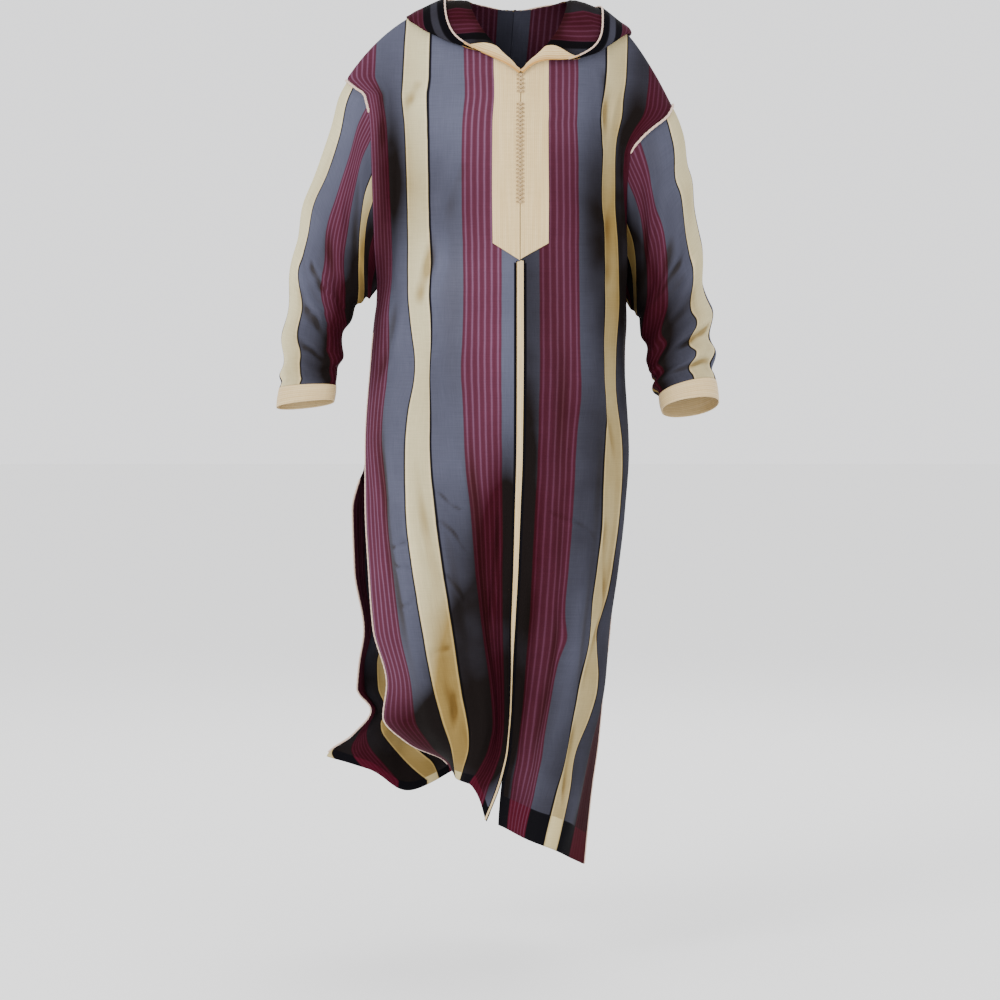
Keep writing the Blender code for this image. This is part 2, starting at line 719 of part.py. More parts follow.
def stand_off(tree, grid, clearance):
    """Push a grid out until its faces, not only its points, clear the body."""
    spots = [(a, b) for a in (0.0, 0.33, 0.67) for b in (0.0, 0.33, 0.67)]
    for _ in range(10):
        push = np.zeros_like(grid)
        most = 0.0
        for i in range(grid.shape[0] - 1):
            for j in range(grid.shape[1] - 1):
                for a, b in spots:
                    top = grid[i, j] * (1 - b) + grid[i, j + 1] * b
                    foot = grid[i + 1, j] * (1 - b) + grid[i + 1, j + 1] * b
                    point = top * (1 - a) + foot * a
                    place, normal, _, _ = tree.find_nearest(Vector(point))
                    short = clearance[i, j] - (Vector(point) - place).dot(normal)
                    if short > 0.02:
                        most = max(most, short)
                        for di, dj in ((0, 0), (0, 1), (1, 0), (1, 1)):
                            if short > np.linalg.norm(push[i + di, j + dj]):
                                push[i + di, j + dj] = np.array(normal) * short
        grid = grid + push * 0.8
        if most < 0.05:
            break
    return grid


def resample(path, places):
    """Points at given distances along a path."""
    step = np.linalg.norm(np.diff(path, axis=0), axis=1)
    run = np.concatenate([[0.0], np.cumsum(step)])
    return np.stack([np.interp(places, run, path[:, k]) for k in range(3)], axis=-1)


def between(points):
    """The points, with one more halfway between each two."""
    out = np.zeros((2 * len(points) - 1, 3))
    out[::2] = points
    out[1::2] = (points[1:] + points[:-1]) / 2
    return out


def hood_grid(side, front, back, tree):
    """Outer side of one hood half: stations round the neck, steps out to the rim."""
    neck_front = front["grid"][0, :6]
    neck_back = back["grid"][0, 4::-1]
    neck = np.concatenate([neck_front, neck_back])
    lift_front = front["normals"][0, :6]
    lift_back = back["normals"][0, 4::-1]
    lifts = np.concatenate([lift_front, lift_back])
    neck = between(neck)
    lifts = unit(between(lifts))
    rows = HOOD[side]
    places = column(rows, HOOD_COLUMNS, "u")
    grid = []
    for k, (start, up) in enumerate(zip(neck, lifts)):
        u = k / (len(neck) - 1)
        value = {}
        for name in HOOD_COLUMNS[1:]:
            value[name] = float(smooth(u, places, column(rows, HOOD_COLUMNS, name)))
        fold = np.array([value["fx"], value["fy"], value["fz"]])
        rim = np.array([value["bx"], value["by"], value["bz"]])
        first = start + up * 0.8 + (fold - start) * 0.15 * (k == 0)
        low = value["low"]
        high = value["high"]
        roll = value["roll"]
        lower = [first + (fold - first) * t for t in (0.3, 0.6, 0.88)]
        lower = lift_clear(tree, lower, [low, low, low])
        turned = lift_clear(tree, [fold], [low + roll])
        upper = [fold + (rim - fold) * t for t in (0.12, 0.45, 0.75)]
        upper = lift_clear(tree, upper, [low + 2 * roll, high, high])
        last = lift_clear(tree, [rim], [high])
        path = np.concatenate([[first], lower, turned, upper, last])
        fine = spline_path(path, 8)
        total = np.linalg.norm(np.diff(fine, axis=0), axis=1).sum()
        band = min(FACING_WIDTH, total * 0.45)
        marks = np.linspace(0.0, total - band, HOOD_STEPS - 1)
        marks = np.concatenate([marks, [total - band / 2, total]])
        profile = resample(fine, marks)
        grid.append(lift_clear(tree, profile, np.clip(0.8 + marks * 0.09, 0.8, 2.8)))
    clearance = np.full((len(grid), HOOD_STEPS + 1), 3.2)
    clearance[:, :3] = (0.8, 1.3, 1.8)
    clearance[-4:] += 1.2
    return stand_off(tree, np.array(grid), clearance)


def spline_path(path, parts):
    """Smooth curve through a short row of points."""
    step = np.linalg.norm(np.diff(path, axis=0), axis=1)
    run = np.concatenate([[0.0], np.cumsum(np.maximum(step, 1e-3))])
    slopes = np.gradient(path, run, axis=0)
    out = []
    for k in range(len(path) - 1):
        width = run[k + 1] - run[k]
        for t in np.linspace(0.0, 1.0, parts, endpoint=False):
            out.append(hermite(path[k], path[k + 1], slopes[k] * width, slopes[k + 1] * width, t))
    out.append(path[-1])
    return np.array(out)


def share_centre_seams(pieces):
    """Give the two sides the same points along the centre seams."""
    for face in ("front", "back"):
        own = pieces[face + "_right"]["grid"]
        other = pieces[face + "_left"]["grid"]
        joined = len(own) - 2 if face == "front" else len(own)
        other[:joined, 0] = own[:joined, 0]


def make_panels(materials):
    """The four striped body panels and both sleeves with their cuffs."""
    pieces = {}
    for side in ("right", "left"):
        for face in ("front", "back"):
            grid, facing = panel_grid(side, face)
            pieces[face + "_" + side] = {"grid": grid, "normals": facing, "around": False}
    for side in ("right", "left"):
        front = pieces["front_" + side]["grid"]
        back = pieces["back_" + side]["grid"]
        rows = min(ARMHOLE_ROWS + 6, len(front) - 1)
        back[0, 5:] = front[0, 5:]
        back[ARMHOLE_ROWS: rows + 1, -1] = front[ARMHOLE_ROWS: rows + 1, -1]
        grid, angles = sleeve_grid(side, front, back)
        normals = outward_ring_normals(grid)
        pieces["sleeve_" + side] = {"grid": grid, "normals": normals, "around": True}
        cuff = cuff_grid(side, grid[-1], angles)
        normals = outward_ring_normals(cuff)
        pieces["cuff_" + side] = {"grid": cuff, "normals": normals, "around": True}
    share_centre_seams(pieces)
    share_normals(list(pieces.values()))
    share_pulls(list(pieces.values()))
    for name, piece in pieces.items():
        cloth = materials["cream_band" if name.startswith("cuff") else "striped_cloth"]
        pulls = piece["pulls"]
        add_wall(name, piece["grid"], piece["normals"], CLOTH, piece["around"], cloth, pulls)
    return pieces


def outward_ring_normals(grid):
    """Normals of a tube, turned to face out."""
    normals = surface_normals(grid, around=True)
    middle = grid.mean(axis=1, keepdims=True)
    if np.mean(np.sum(normals * (grid - middle), axis=-1)) < 0:
        normals = -normals
    return normals


def laid_band(name, grid, normals, thickness, material, start=LAY):
    """Band that lies on a panel, made from the panel's own points."""
    outer = grid + normals * (start + thickness)
    return add_wall(name, outer, normals, thickness, False, material)


def make_placket(pieces, materials):
    """Two placket halves, each on its own front panel."""
    halves = []
    for side in ("right", "left"):
        piece = pieces["front_" + side]
        last = ARMHOLE_ROWS - 1
        grid = piece["grid"][: last + 1, :PLACKET_COLUMNS].copy()
        normals = piece["normals"][: last + 1, :PLACKET_COLUMNS].copy()
        s = np.array(COLUMNS[:PLACKET_COLUMNS], float)
        share = (1 - s / s[-1])[:, None] * 0.999 + 0.001
        above = grid[-2]
        below = grid[-1]
        tip = above + (below - above) * share
        tip[0] = below[0]
        grid[-1] = tip
        laid_band("placket_" + side, grid, normals, TRIM, materials["placket_cloth"])
        halves.append((grid + normals * (LAY + TRIM), normals))
    return halves


def make_braid(pieces, materials):
    """Narrow braid over the centre seam, from the placket's point to the hem."""
    piece = pieces["front_right"]
    first = ARMHOLE_ROWS
    grid = piece["grid"][first:, :2]
    normals = piece["normals"][first:, :2]
    laid_band("centre_braid", grid, normals, TRIM, materials["cream_band"])


def make_buttons(pieces, materials):
    """Ball buttons down the middle of the placket."""
    centre = pieces["front_right"]["grid"][:, 0]
    normals = pieces["front_right"]["normals"][:, 0]
    heights = []
    for first, last in BUTTON_GROUPS:
        count = int((first - last) / BUTTON_STEP) + 1
        heights += [first - i * BUTTON_STEP for i in range(count)]
    order = np.argsort(centre[:, 2])
    for number, height in enumerate(heights):
        spot = [np.interp(height, centre[order, 2], centre[order, k]) for k in range(3)]
        normal = [np.interp(height, centre[order, 2], normals[order, k]) for k in range(3)]
        out = LAY + TRIM + 0.4 + BUTTON_RADIUS
        place = np.array(spot) + unit(np.array(normal)) * out
        add_button("button_%02d" % (number + 1), place, materials["button_thread"])


def make_edge_cords(pieces, materials):
    """Cords on the armhole seams and along the open side edges."""
    cord = materials["edge_cord"]
    for side in ("right", "left"):
        front = pieces["front_" + side]
        back = pieces["back_" + side]
        sleeve = pieces["sleeve_" + side]
        closed = np.concatenate([sleeve["grid"], sleeve["grid"][:, :1]], axis=1)
        faced = np.concatenate([sleeve["normals"], sleeve["normals"][:, :1]], axis=1)
        tree = surface_tree([
            (front["grid"], front["normals"]),
            (back["grid"], back["normals"]),
            (closed, faced),
        ])
        up = np.concatenate([back["grid"][3:0:-1, -1], front["grid"][:6, -1]])
        lift = np.concatenate([back["normals"][3:0:-1, -1], front["normals"][:6, -1]])
        path = up + lift * (CORD + 0.5)
        for _ in range(12):
            path = lift_clear(tree, path, [CORD + 0.5] * len(path))
        add_cord("armhole_piping_" + side, path, CORD, cord)
        first = ARMHOLE_ROWS + 7
        for face, piece in (("front", front), ("back", back)):
            edge = piece["grid"][first:, -1]
            beside = piece["grid"][first:, -2]
            out = unit(edge - beside) * (CORD + 0.9)
            path = edge + out - piece["normals"][first:, -1] * CLOTH / 2
            add_cord("side_piping_" + face + "_" + side, path, CORD, cord)


def make_hood(pieces, halves, materials):
    """Lowered hood: two halves, their facings and the rim cords."""
    bodies = [pieces["front_right"], pieces["front_left"], pieces["back_right"], pieces["back_left"]]
    tree = surface_tree([(b["grid"], b["normals"]) for b in bodies] + halves)
    built = {}
    for side in ("right", "left"):
        grid = hood_grid(side, pieces["front_" + side], pieces["back_" + side], tree)
        built[side] = grid
    shared = (built["right"][-1] + built["left"][-1]) / 2
    shared = lift_clear(tree, shared, [3.8] * len(shared))
    solids = []
    for side, grid in built.items():
        grid[-1] = shared
        normals = surface_normals(grid)
        below = pieces["back_" + side]["normals"][0, 4]
        if np.dot(normals[-1, 2], below) > 0:
            normals = -normals
        solids.append({"grid": grid, "normals": normals, "side": side, "around": False})
    share_normals(solids)
    for item in solids:
        side = item["side"]
        grid = item["grid"]
        normals = item["normals"]
        add_wall("hood_" + side, grid, normals, CLOTH, False, materials["striped_cloth"])
        turned = normals[:FACING_STATIONS, -3:]
        band = grid[:FACING_STATIONS, -3:] - turned * (CLOTH + LAY + 0.3)
        add_wall("hood_facing_" + side, band, turned, TRIM, False, materials["cream_band"])
        edge = grid[:, -1]
        out = unit(edge - grid[:, -2]) * (CORD + 2.0)
        path = edge + out - normals[:, -1] * CLOTH / 2
        path = path[1:-1]
        tail = edge[-1] + out[-1] - normals[-1, -1] * CLOTH / 2
        path = np.concatenate([path, [tail + unit(path[-1] - tail) * 0.6]])
        add_cord("hood_piping_" + side, path, CORD, materials["edge_cord"])


clear_scene()
COLLECTION = bpy.data.collections.new("collared_robe")
bpy.context.scene.collection.children.link(COLLECTION)
MATERIALS = make_materials()
BODY = make_panels(MATERIALS)
PLACKETS = make_placket(BODY, MATERIALS)
make_braid(BODY, MATERIALS)
make_buttons(BODY, MATERIALS)
make_edge_cords(BODY, MATERIALS)
make_hood(BODY, PLACKETS, MATERIALS)
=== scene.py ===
"""Hooded robe of striped voile: fine cloth, braid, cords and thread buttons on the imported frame.

Formulas work in millimetres and are scaled to metres when a mesh is made.
Frame: +Z up, -Y the wearer's front, +X the wearer's left side.
"""
import math
from functools import partial

import bpy
import numpy as np
from bpy.props import FloatProperty, FloatVectorProperty, PointerProperty
from bpy.types import Operator, Panel, PropertyGroup
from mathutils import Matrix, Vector


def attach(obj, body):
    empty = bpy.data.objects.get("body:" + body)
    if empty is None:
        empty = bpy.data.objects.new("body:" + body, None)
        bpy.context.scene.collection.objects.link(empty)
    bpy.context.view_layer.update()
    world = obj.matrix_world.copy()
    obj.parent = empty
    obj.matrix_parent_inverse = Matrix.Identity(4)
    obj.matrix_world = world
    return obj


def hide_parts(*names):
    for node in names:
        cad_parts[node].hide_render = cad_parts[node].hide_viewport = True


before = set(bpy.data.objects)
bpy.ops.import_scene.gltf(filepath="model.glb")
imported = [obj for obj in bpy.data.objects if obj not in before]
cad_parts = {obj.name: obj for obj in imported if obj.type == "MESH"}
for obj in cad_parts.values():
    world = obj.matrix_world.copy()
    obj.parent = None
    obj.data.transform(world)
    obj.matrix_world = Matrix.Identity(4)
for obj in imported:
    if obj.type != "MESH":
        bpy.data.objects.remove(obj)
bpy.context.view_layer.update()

bl_info = {
    "name": "Hooded striped robe",
    "version": (1, 0, 0),
    "blender": (4, 5, 0),
    "location": "3D View > Sidebar > Robe",
    "description": "Cloth, trim and stage of a hooded robe of striped voile",
    "category": "Object",
}

MM = 0.001
BUILT = {}                # finished surfaces, for the pieces that lie on them

# Flat widths across a panel, from the centre seam
HALF_WIDTH = 288.0
NECK_SIDE = 78.0
GUIDES = (0.0, 86.0, 182.0, 288.0)
NECK_STOPS = (0.0, 8.0, 25.0, 43.0, 60.0, 78.0)
SHOULDER_ROUND = 120.0    # depth over which a panel rounds up to the shoulder line
SHOULDER_FADE = 30.0      # and over which the back gives way to the front there
CREAM_CENTRE = 162.0      # flat place of the cream stripe's middle on a panel
STRIPE_REPEAT = 206.0

# Fine grid
PANEL_COLS = 121
ARM_ROWS = 84
SEAM_ROWS = 56
SKIRT_ROWS = 150
SLEEVE_ROWS = 112
HOOD_STATIONS = 101
HOOD_STEPS = 50
RIM_STEPS = 9
CORD_STEP = 1.1

# Neck opening, height at each flat distance from the centre
NECK_FRONT = ((0, -60), (8, -51), (25, -32), (43, -9), (60, 16), (78, 58))
NECK_BACK = ((0, 50), (25, 51), (43, 53), (60, 55), (78, 58))

# The shoulder line falls from the neck side to the armhole: drop and power
SHOULDER = {"right": (125.0, 2.2), "left": (164.0, 1.7)}
UNDERARM = {"right": -400.0, "left": -419.0}
CENTRE_UNDERARM = -400.0  # the centre seam's row that belongs to the underarms
SLIT_TOP = {"right": -668.0, "left": -700.0}

# Hem height at each guide line
HEM = {
    ("right", "front"): (-1244, -1186, -1181, -1168),
    ("left", "front"): (-1250, -1265, -1281, -1313),
    ("right", "back"): (-1172, -1222, -1186, -1167),
    ("left", "back"): (-1172, -1225, -1262, -1290),
}

# One row per height: sideways place (x) and depth (y) of the four guide lines
PANEL_COLUMNS = ("z", "x0", "x1", "x2", "x3", "y0", "y1", "y2", "y3")
PANELS = {
    ("right", "front"): (
        (60, 7, -85, -172, -272, -92, -60, -35, -40),
        (-60, 7, -83, -178, -272, -92, -64, -40, -42),
        (-80, 7, -82, -179, -254, -98, -72, -44, -48),
        (-92, 7, -82, -180, -239, -101, -78, -48, -60),
        (-144, 6, -86, -175, -231, -116, -95, -58, -58),
        (-230, 6, -87, -171, -228, -128, -112, -72, -60),
        (-330, 6, -85, -169, -225, -138, -125, -82, -48),
        (-400, 6, -84, -169, -222, -142, -132, -90, -18),
        (-500, 6, -85, -163, -230, -150, -142, -98, -24),
        (-655, 5, -82, -173, -240, -155, -150, -102, -25),
        (-750, 2, -73, -169, -239, -150, -152, -106, -30),
        (-845, -1, -65, -157, -234, -140, -150, -112, -30),
        (-940, -5, -54, -142, -227, -118, -140, -110, -24),
        (-1030, -7, -42, -127, -206, -92, -112, -96, -8),
        (-1085, -9, -38, -114, -212, -78, -92, -80, 4),
        (-1130, -12, -46, -102, -172, -70, -76, -58, 24),
        (-1165, -19, -62, -98, -112, -66, -62, -24, 66),
        (-1190, -26, -77, -96, -104, -66, -52, -8, 80),
        (-1250, -50, -84, -96, -104, -70, -50, 0, 84),
    ),
    ("left", "front"): (
        (60, 7, 91, 178, 250, -92, -60, -30, -45),
        (-60, 7, 99, 174, 250, -92, -64, -34, -45),
        (-106, 7, 98, 167, 248, -104, -82, -40, -46),
        (-124, 7, 98, 164, 240, -110, -88, -43, -48),
        (-144, 6, 97, 161, 216, -116, -95, -46, -54),
        (-163, 6, 97, 159, 196, -120, -101, -48, -56),
        (-188, 6, 97, 158, 181, -124, -107, -50, -52),
        (-256, 6, 98, 157, 176, -130, -118, -53, -36),
        (-336, 6, 98, 162, 176, -138, -129, -60, -2),
        (-419, 6, 99, 163, 178, -143, -139, -66, 44),
        (-500, 6, 100, 158, 174, -150, -144, -72, 42),
        (-655, 5, 94, 166, 172, -155, -154, -80, 28),
        (-750, 2, 89, 162, 164, -150, -162, -90, 20),
        (-845, -1, 81, 150, 158, -140, -175, -105, 10),
        (-940, -5, 71, 134, 151, -118, -180, -111, 0),
        (-1030, -7, 57, 125, 141, -92, -168, -114, -6),
        (-1130, -12, 38, 98, 130, -70, -142, -130, -30),
        (-1190, -24, 29, 84, 121, -64, -128, -138, -42),
        (-1260, -29, 14, 68, 113, -68, -120, -146, -52),
        (-1320, -30, 8, 52, 107, -70, -118, -150, -60),
    ),
    ("right", "back"): (
        (60, -2, -86, -172, -272, 95, 62, 50, 40),
        (-60, -12, -90, -178, -272, 110, 92, 62, 40),
        (-92, -16, -93, -180, -240, 114, 99, 72, 44),
        (-144, -22, -99, -182, -231, 119, 107, 84, 46),
        (-230, -33, -112, -188, -228, 125, 115, 92, 46),
        (-330, -43, -124, -194, -225, 121, 112, 90, 26),
        (-400, -46, -128, -196, -222, 116, 106, 84, -18),
        (-500, -48, -132, -202, -230, 113, 105, 80, -24),
        (-655, -50, -136, -210, -240, 126, 116, 86, -25),
        (-700, -50, -137, -214, -250, 132, 121, 92, -8),
        (-753, -50, -138, -218, -262, 139, 127, 98, 20),
        (-851, -50, -140, -219, -260, 151, 139, 112, 54),
        (-950, -50, -143, -216, -246, 165, 152, 126, 86),
        (-1010, -52, -146, -228, -255, 174, 160, 136, 106),
        (-1050, -54, -148, -226, -258, 180, 166, 142, 120),
        (-1085, -58, -152, -214, -236, 186, 172, 148, 134),
        (-1130, -64, -162, -236, -268, 190, 176, 160, 160),
        (-1167, -70, -170, -244, -312, 192, 176, 168, 186),
        (-1230, -76, -178, -236, -316, 194, 170, 172, 190),
    ),
    ("left", "back"): (
        (60, -2, 86, 178, 250, 95, 64, 50, 40),
        (-60, -12, 74, 172, 250, 110, 94, 66, 40),
        (-106, -17, 68, 166, 248, 115, 102, 76, 40),
        (-124, -20, 66, 163, 240, 117, 105, 80, 52),
        (-144, -22, 64, 160, 217, 119, 108, 85, 62),
        (-188, -28, 59, 154, 184, 123, 114, 95, 80),
        (-256, -36, 51, 147, 178, 125, 119, 104, 90),
        (-336, -43, 44, 141, 178, 121, 118, 108, 84),
        (-419, -46, 40, 138, 178, 115, 114, 106, 44),
        (-500, -48, 38, 136, 174, 113, 113, 104, 42),
        (-655, -50, 36, 134, 172, 126, 124, 104, 28),
        (-750, -50, 34, 128, 162, 138, 134, 108, 34),
        (-850, -50, 32, 120, 154, 151, 144, 108, 42),
        (-950, -50, 31, 113, 146, 165, 154, 106, 46),
        (-1050, -54, 30, 104, 136, 180, 162, 100, 42),
        (-1130, -64, 28, 98, 127, 190, 168, 94, 34),
        (-1300, -70, 24, 86, 106, 192, 172, 82, 18),
    ),
}

# Long soft folds: flat place at top and foot, top and foot height, width, depth
FOLDS = {
    ("right", "front"): (
        (60, 52, -420, -1120, 16, -5.0),
        (118, 104, -360, -1150, 20, 5.5),
        (160, 150, -420, -1150, 15, -5.0),
        (214, 205, -430, -1120, 20, 6.0),
        (250, 240, -130, -380, 18, -5.0),
        (190, 210, -110, -420, 18, 5.0),
    ),
    ("left", "front"): (
        (56, 60, -430, -1200, 18, -6.0),
        (112, 116, -380, -1220, 18, 6.0),
        (152, 156, -120, -1240, 15, -5.0),
        (208, 214, -420, -1240, 18, 5.0),
        (206, 232, -140, -400, 16, 5.5),
    ),
    ("right", "back"): (
        (40, 36, -420, -1150, 22, -8.0),
        (96, 100, -300, -1190, 22, 8.0),
        (150, 156, -420, -1170, 20, -7.0),
        (220, 226, -150, -1130, 20, 6.0),
    ),
    ("left", "back"): (
        (44, 40, -420, -1180, 22, -8.0),
        (100, 98, -300, -1210, 22, 8.0),
        (156, 150, -420, -1230, 20, -7.0),
        (222, 226, -150, -1240, 20, 6.0),
    ),
}

# Fine creases on the panels: start (s, z), end (s, z), bow, width, depth
CREASES = {
    ("right", "front"): (
        (148, -66, 178, -127, 4, 8, -3.2),
        (134, -300, 167, -436, 7, 11, -5.4),
        (98, -166, 138, -300, 6, 12, 2.4),
        (236, -60, 262, -200, -8, 10, -3.2),
        (222, -120, 250, -330, 6, 9, 2.6),
        (200, -380, 262, -560, 10, 10, -2.8),
        (70, -560, 62, -1080, 8, 10, -2.6),
        (92, -640, 84, -1120, -7, 9, 2.2),
        (128, -700, 118, -1130, 6, 10, -2.6),
        (196, -620, 180, -1120, -9, 10, 2.6),
        (238, -560, 226, -1040, 8, 10, -2.8),
        (26, -760, 34, -1200, -6, 8, -2.4),
        (170, -960, 132, -1160, 10, 8, -2.6),
        (262, -640, 256, -900, 5, 9, 2.2),
        (88, -752, 142, -712, 4, 3.4, -3.0),
        (90, -822, 140, -756, 5, 3.4, -3.0),
        (96, -900, 138, -836, 4, 3.4, -2.4),
        (180, -796, 234, -808, 4, 3.2, -2.6),
        (182, -846, 234, -834, 3, 3.2, -2.6),
        (184, -884, 230, -904, 4, 3.2, -2.4),
        (34, -690, 62, -960, 16, 5, -3.8),
        (140, -962, 186, -984, 4, 4, -2.4),
        (150, -1020, 178, -1112, 6, 6, -3.4),
        (170, -640, 150, -900, 8, 8, -2.2),
    ),
    ("left", "front"): (
        (126, -40, 158, -190, 6, 8, -3.2),
        (172, -60, 150, -200, -5, 8, 2.8),
        (168, -250, 150, -420, 6, 8, -3.0),
        (214, -150, 238, -380, -8, 10, -3.0),
        (236, -190, 214, -420, 6, 9, 2.4),
        (60, -400, 66, -900, 8, 11, -2.4),
        (98, -520, 92, -1120, -8, 10, 2.2),
        (128, -560, 138, -1180, 8, 10, -2.8),
        (186, -520, 196, -1180, -8, 10, 2.6),
        (238, -480, 232, -1180, 8, 10, -2.8),
        (30, -820, 26, -1160, 6, 8, -2.2),
        (76, -880, 58, -1210, 8, 9, -2.4),
        (262, -640, 256, -1120, 5, 9, 2.0),
        (146, -720, 180, -920, 7, 5, -3.0),
        (144, -500, 168, -700, 6, 5, -2.6),
        (30, -742, 136, -796, 6, 3.6, -2.2),
        (184, -880, 148, -1040, 6, 5, -3.0),
        (148, -1050, 172, -1230, 6, 5, -2.6),
    ),
    ("right", "back"): (
        (70, -420, 64, -1100, 8, 11, -2.8),
        (124, -380, 130, -1140, -8, 10, 2.6),
        (182, -300, 190, -1100, 8, 10, -2.8),
        (246, -220, 210, -420, 10, 10, -3.0),
        (252, -480, 256, -1060, -6, 10, 2.6),
        (20, -560, 22, -1120, 5, 9, 2.0),
        (206, -700, 236, -1080, 9, 9, -2.8),
    ),
    ("left", "back"): (
        (72, -420, 66, -1120, 8, 11, -2.8),
        (128, -380, 126, -1180, -8, 10, 2.6),
        (182, -300, 178, -1190, 8, 10, -2.8),
        (246, -220, 206, -430, 10, 10, -3.0),
        (250, -480, 254, -1180, -6, 10, 2.6),
        (20, -560, 22, -1130, 5, 9, 2.0),
    ),
}

# Sleeve rings: outer fold (x, z), inner fold (x, z), middle depth, half depth, front lift
RING_COLUMNS = ("ox", "oz", "ix", "iz", "y", "half", "lift")
SLEEVES = {
    "right": (
        (-270, -68, -222, -400, -8, 60, 0),
        (-284, -95, -229, -409, -10, 61, 0),
        (-295, -140, -234, -414, -12, 60, 0),
        (-315, -202, -239, -413, -14, 58, 0),
        (-337, -266, -248, -420, -18, 56, 0),
        (-350, -321, -257, -432, -24, 53, 0),
        (-359, -385, -268, -455, -32, 49, 1),
        (-366, -449, -276, -484, -42, 45, 2),
        (-369, -496, -278, -514, -50, 42, 3),
        (-371, -534, -283, -537, -56, 40, 4),
        (-375, -557, -285, -553, -60, 39, 5),
    ),
    "left": (
        (248, -106, 180, -419, 18, 66, 0),
        (259, -129, 187, -431, 18, 66, 0),
        (270, -177, 190, -433, 18, 65, 0),
        (279, -224, 192, -435, 16, 63, 0),
        (288, -275, 196, -443, 13, 60, 0),
        (295, -332, 198, -455, 8, 56, 2),
        (301, -388, 204, -477, -2, 52, 4),
        (309, -434, 210, -503, -16, 48, 7),
        (311, -479, 214, -527, -32, 45, 10),
        (312, -514, 218, -549, -48, 43, 13),
        (317, -548, 226, -570, -60, 42, 15),
    ),
}
CUFF_END = {
    "right": (-379, -588, -288, -578, -64, 40, 6),
    "left": (320, -580, 230, -593, -72, 42, 15),
}

# Cross folds round the sleeves: place along (0 armhole, 1 cuff), width, depth, lean
SLEEVE_FOLDS = {
    "right": (
        (0.30, 0.05, 4.0, 0.10),
        (0.48, 0.05, 4.5, 0.12),
        (0.66, 0.05, 4.5, 0.10),
        (0.84, 0.04, 4.0, 0.05),
    ),
    "left": (
        (0.26, 0.05, 4.0, -0.10),
        (0.44, 0.05, 4.5, -0.12),
        (0.62, 0.05, 5.0, -0.10),
        (0.76, 0.04, 6.0, -0.06),
        (0.90, 0.04, 6.0, -0.04),
    ),
}

# Fine creases on the sleeves: start (turn, along), end (turn, along), width, depth.
# A turn of 0 is the outer fold, 90 the front, 180 the underarm, 270 the back.
SLEEVE_CREASES = {
    "right": (
        (70, 0.10, 150, 0.42, 9, -3.2),
        (40, 0.20, 120, 0.46, 8, 2.6),
        (60, 0.34, 140, 0.60, 8, -3.0),
        (30, 0.52, 110, 0.66, 7, 2.4),
        (40, 0.60, 130, 0.74, 7, -2.8),
        (50, 0.74, 120, 0.84, 6, -2.4),
        (62, 0.49, 104, 0.56, 4.5, -4.2),
        (66, 0.63, 112, 0.70, 4.5, -4.4),
        (72, 0.77, 116, 0.83, 4.5, -4.2),
        (60, 0.84, 130, 0.92, 6, 2.2),
        (210, 0.15, 290, 0.45, 9, -3.0),
        (220, 0.40, 310, 0.62, 8, 2.6),
        (215, 0.60, 300, 0.78, 8, -2.8),
        (230, 0.78, 320, 0.90, 6, 2.2),
    ),
    "left": (
        (60, 0.08, 140, 0.38, 9, -3.2),
        (35, 0.22, 115, 0.44, 8, 2.8),
        (60, 0.36, 130, 0.52, 8, -3.2),
        (30, 0.50, 100, 0.58, 7, 2.4),
        (45, 0.60, 130, 0.70, 7, -2.6),
        (52, 0.46, 112, 0.50, 4.5, -4.0),
        (15, 0.735, 112, 0.79, 4.5, -5.4),
        (350, 0.83, 70, 0.86, 6, 4.4),
        (15, 0.91, 120, 0.93, 4.5, -5.2),
        (210, 0.15, 290, 0.45, 9, -3.0),
        (220, 0.40, 310, 0.62, 8, 2.6),
        (215, 0.60, 300, 0.78, 8, -2.8),
        (230, 0.80, 330, 0.90, 6, 2.8),
    ),
}

# Hood: share of the way round the neck, outer fold and rim places, height of each layer
HOOD_COLUMNS = ("u", "fx", "fy", "fz", "bx", "by", "bz", "low", "high", "roll")
HOOD = {
    "right": (
        (0.00, 4, -98, -62, 4, -98, -62, 2.2, 3.0, 0.5),
        (0.12, -12, -99, -50, -12, -99, -50, 2.5, 3.5, 0.8),
        (0.24, -38, -88, -35, -39, -88, -35, 3.0, 5.0, 1.2),
        (0.36, -72, -70, -22, -71, -68, -20, 4.0, 8.0, 2.5),
        (0.46, -112, -44, -12, -96, -46, -3, 4.0, 10.0, 3.5),
        (0.51, -146, -26, 4, -108, -30, 20, 4.0, 10.0, 4.0),
        (0.56, -166, -10, 16, -113, -12, 50, 4.0, 10.0, 4.0),
        (0.70, -158, 84, -18, -106, 62, 66, 5.0, 20.0, 8.0),
        (0.85, -96, 128, -190, -62, 112, 62, 5.0, 26.0, 9.0),
        (1.00, -26, 142, -345, -6, 128, 50, 5.0, 26.0, 9.0),
    ),
    "left": (
        (0.00, 10, -98, -62, 10, -98, -62, 2.2, 3.0, 0.5),
        (0.12, 29, -99, -47, 29, -99, -47, 2.5, 3.5, 0.8),
        (0.24, 53, -88, -40, 54, -88, -40, 3.0, 5.0, 1.2),
        (0.36, 85, -72, -40, 84, -70, -39, 4.0, 8.0, 2.0),
        (0.46, 126, -44, -30, 116, -46, -24, 4.0, 10.0, 3.0),
        (0.51, 156, -26, -14, 133, -32, 2, 4.0, 10.0, 4.0),
        (0.56, 178, -6, 0, 133, -10, 34, 4.0, 10.0, 4.0),
        (0.70, 152, 86, -20, 112, 62, 56, 5.0, 20.0, 8.0),
        (0.85, 60, 132, -190, 62, 112, 62, 5.0, 26.0, 9.0),
        (1.00, -26, 142, -345, -6, 128, 50, 5.0, 26.0, 9.0),
    ),
}
RIM_BAND = 18.0           # finer steps this close to the hood's rim
FACING_FULL = 0.25        # the facing is as wide as the hood up to this share round the neck
FACING_REACH = 0.40       # and runs out to a point here
FACING_COLS = 15
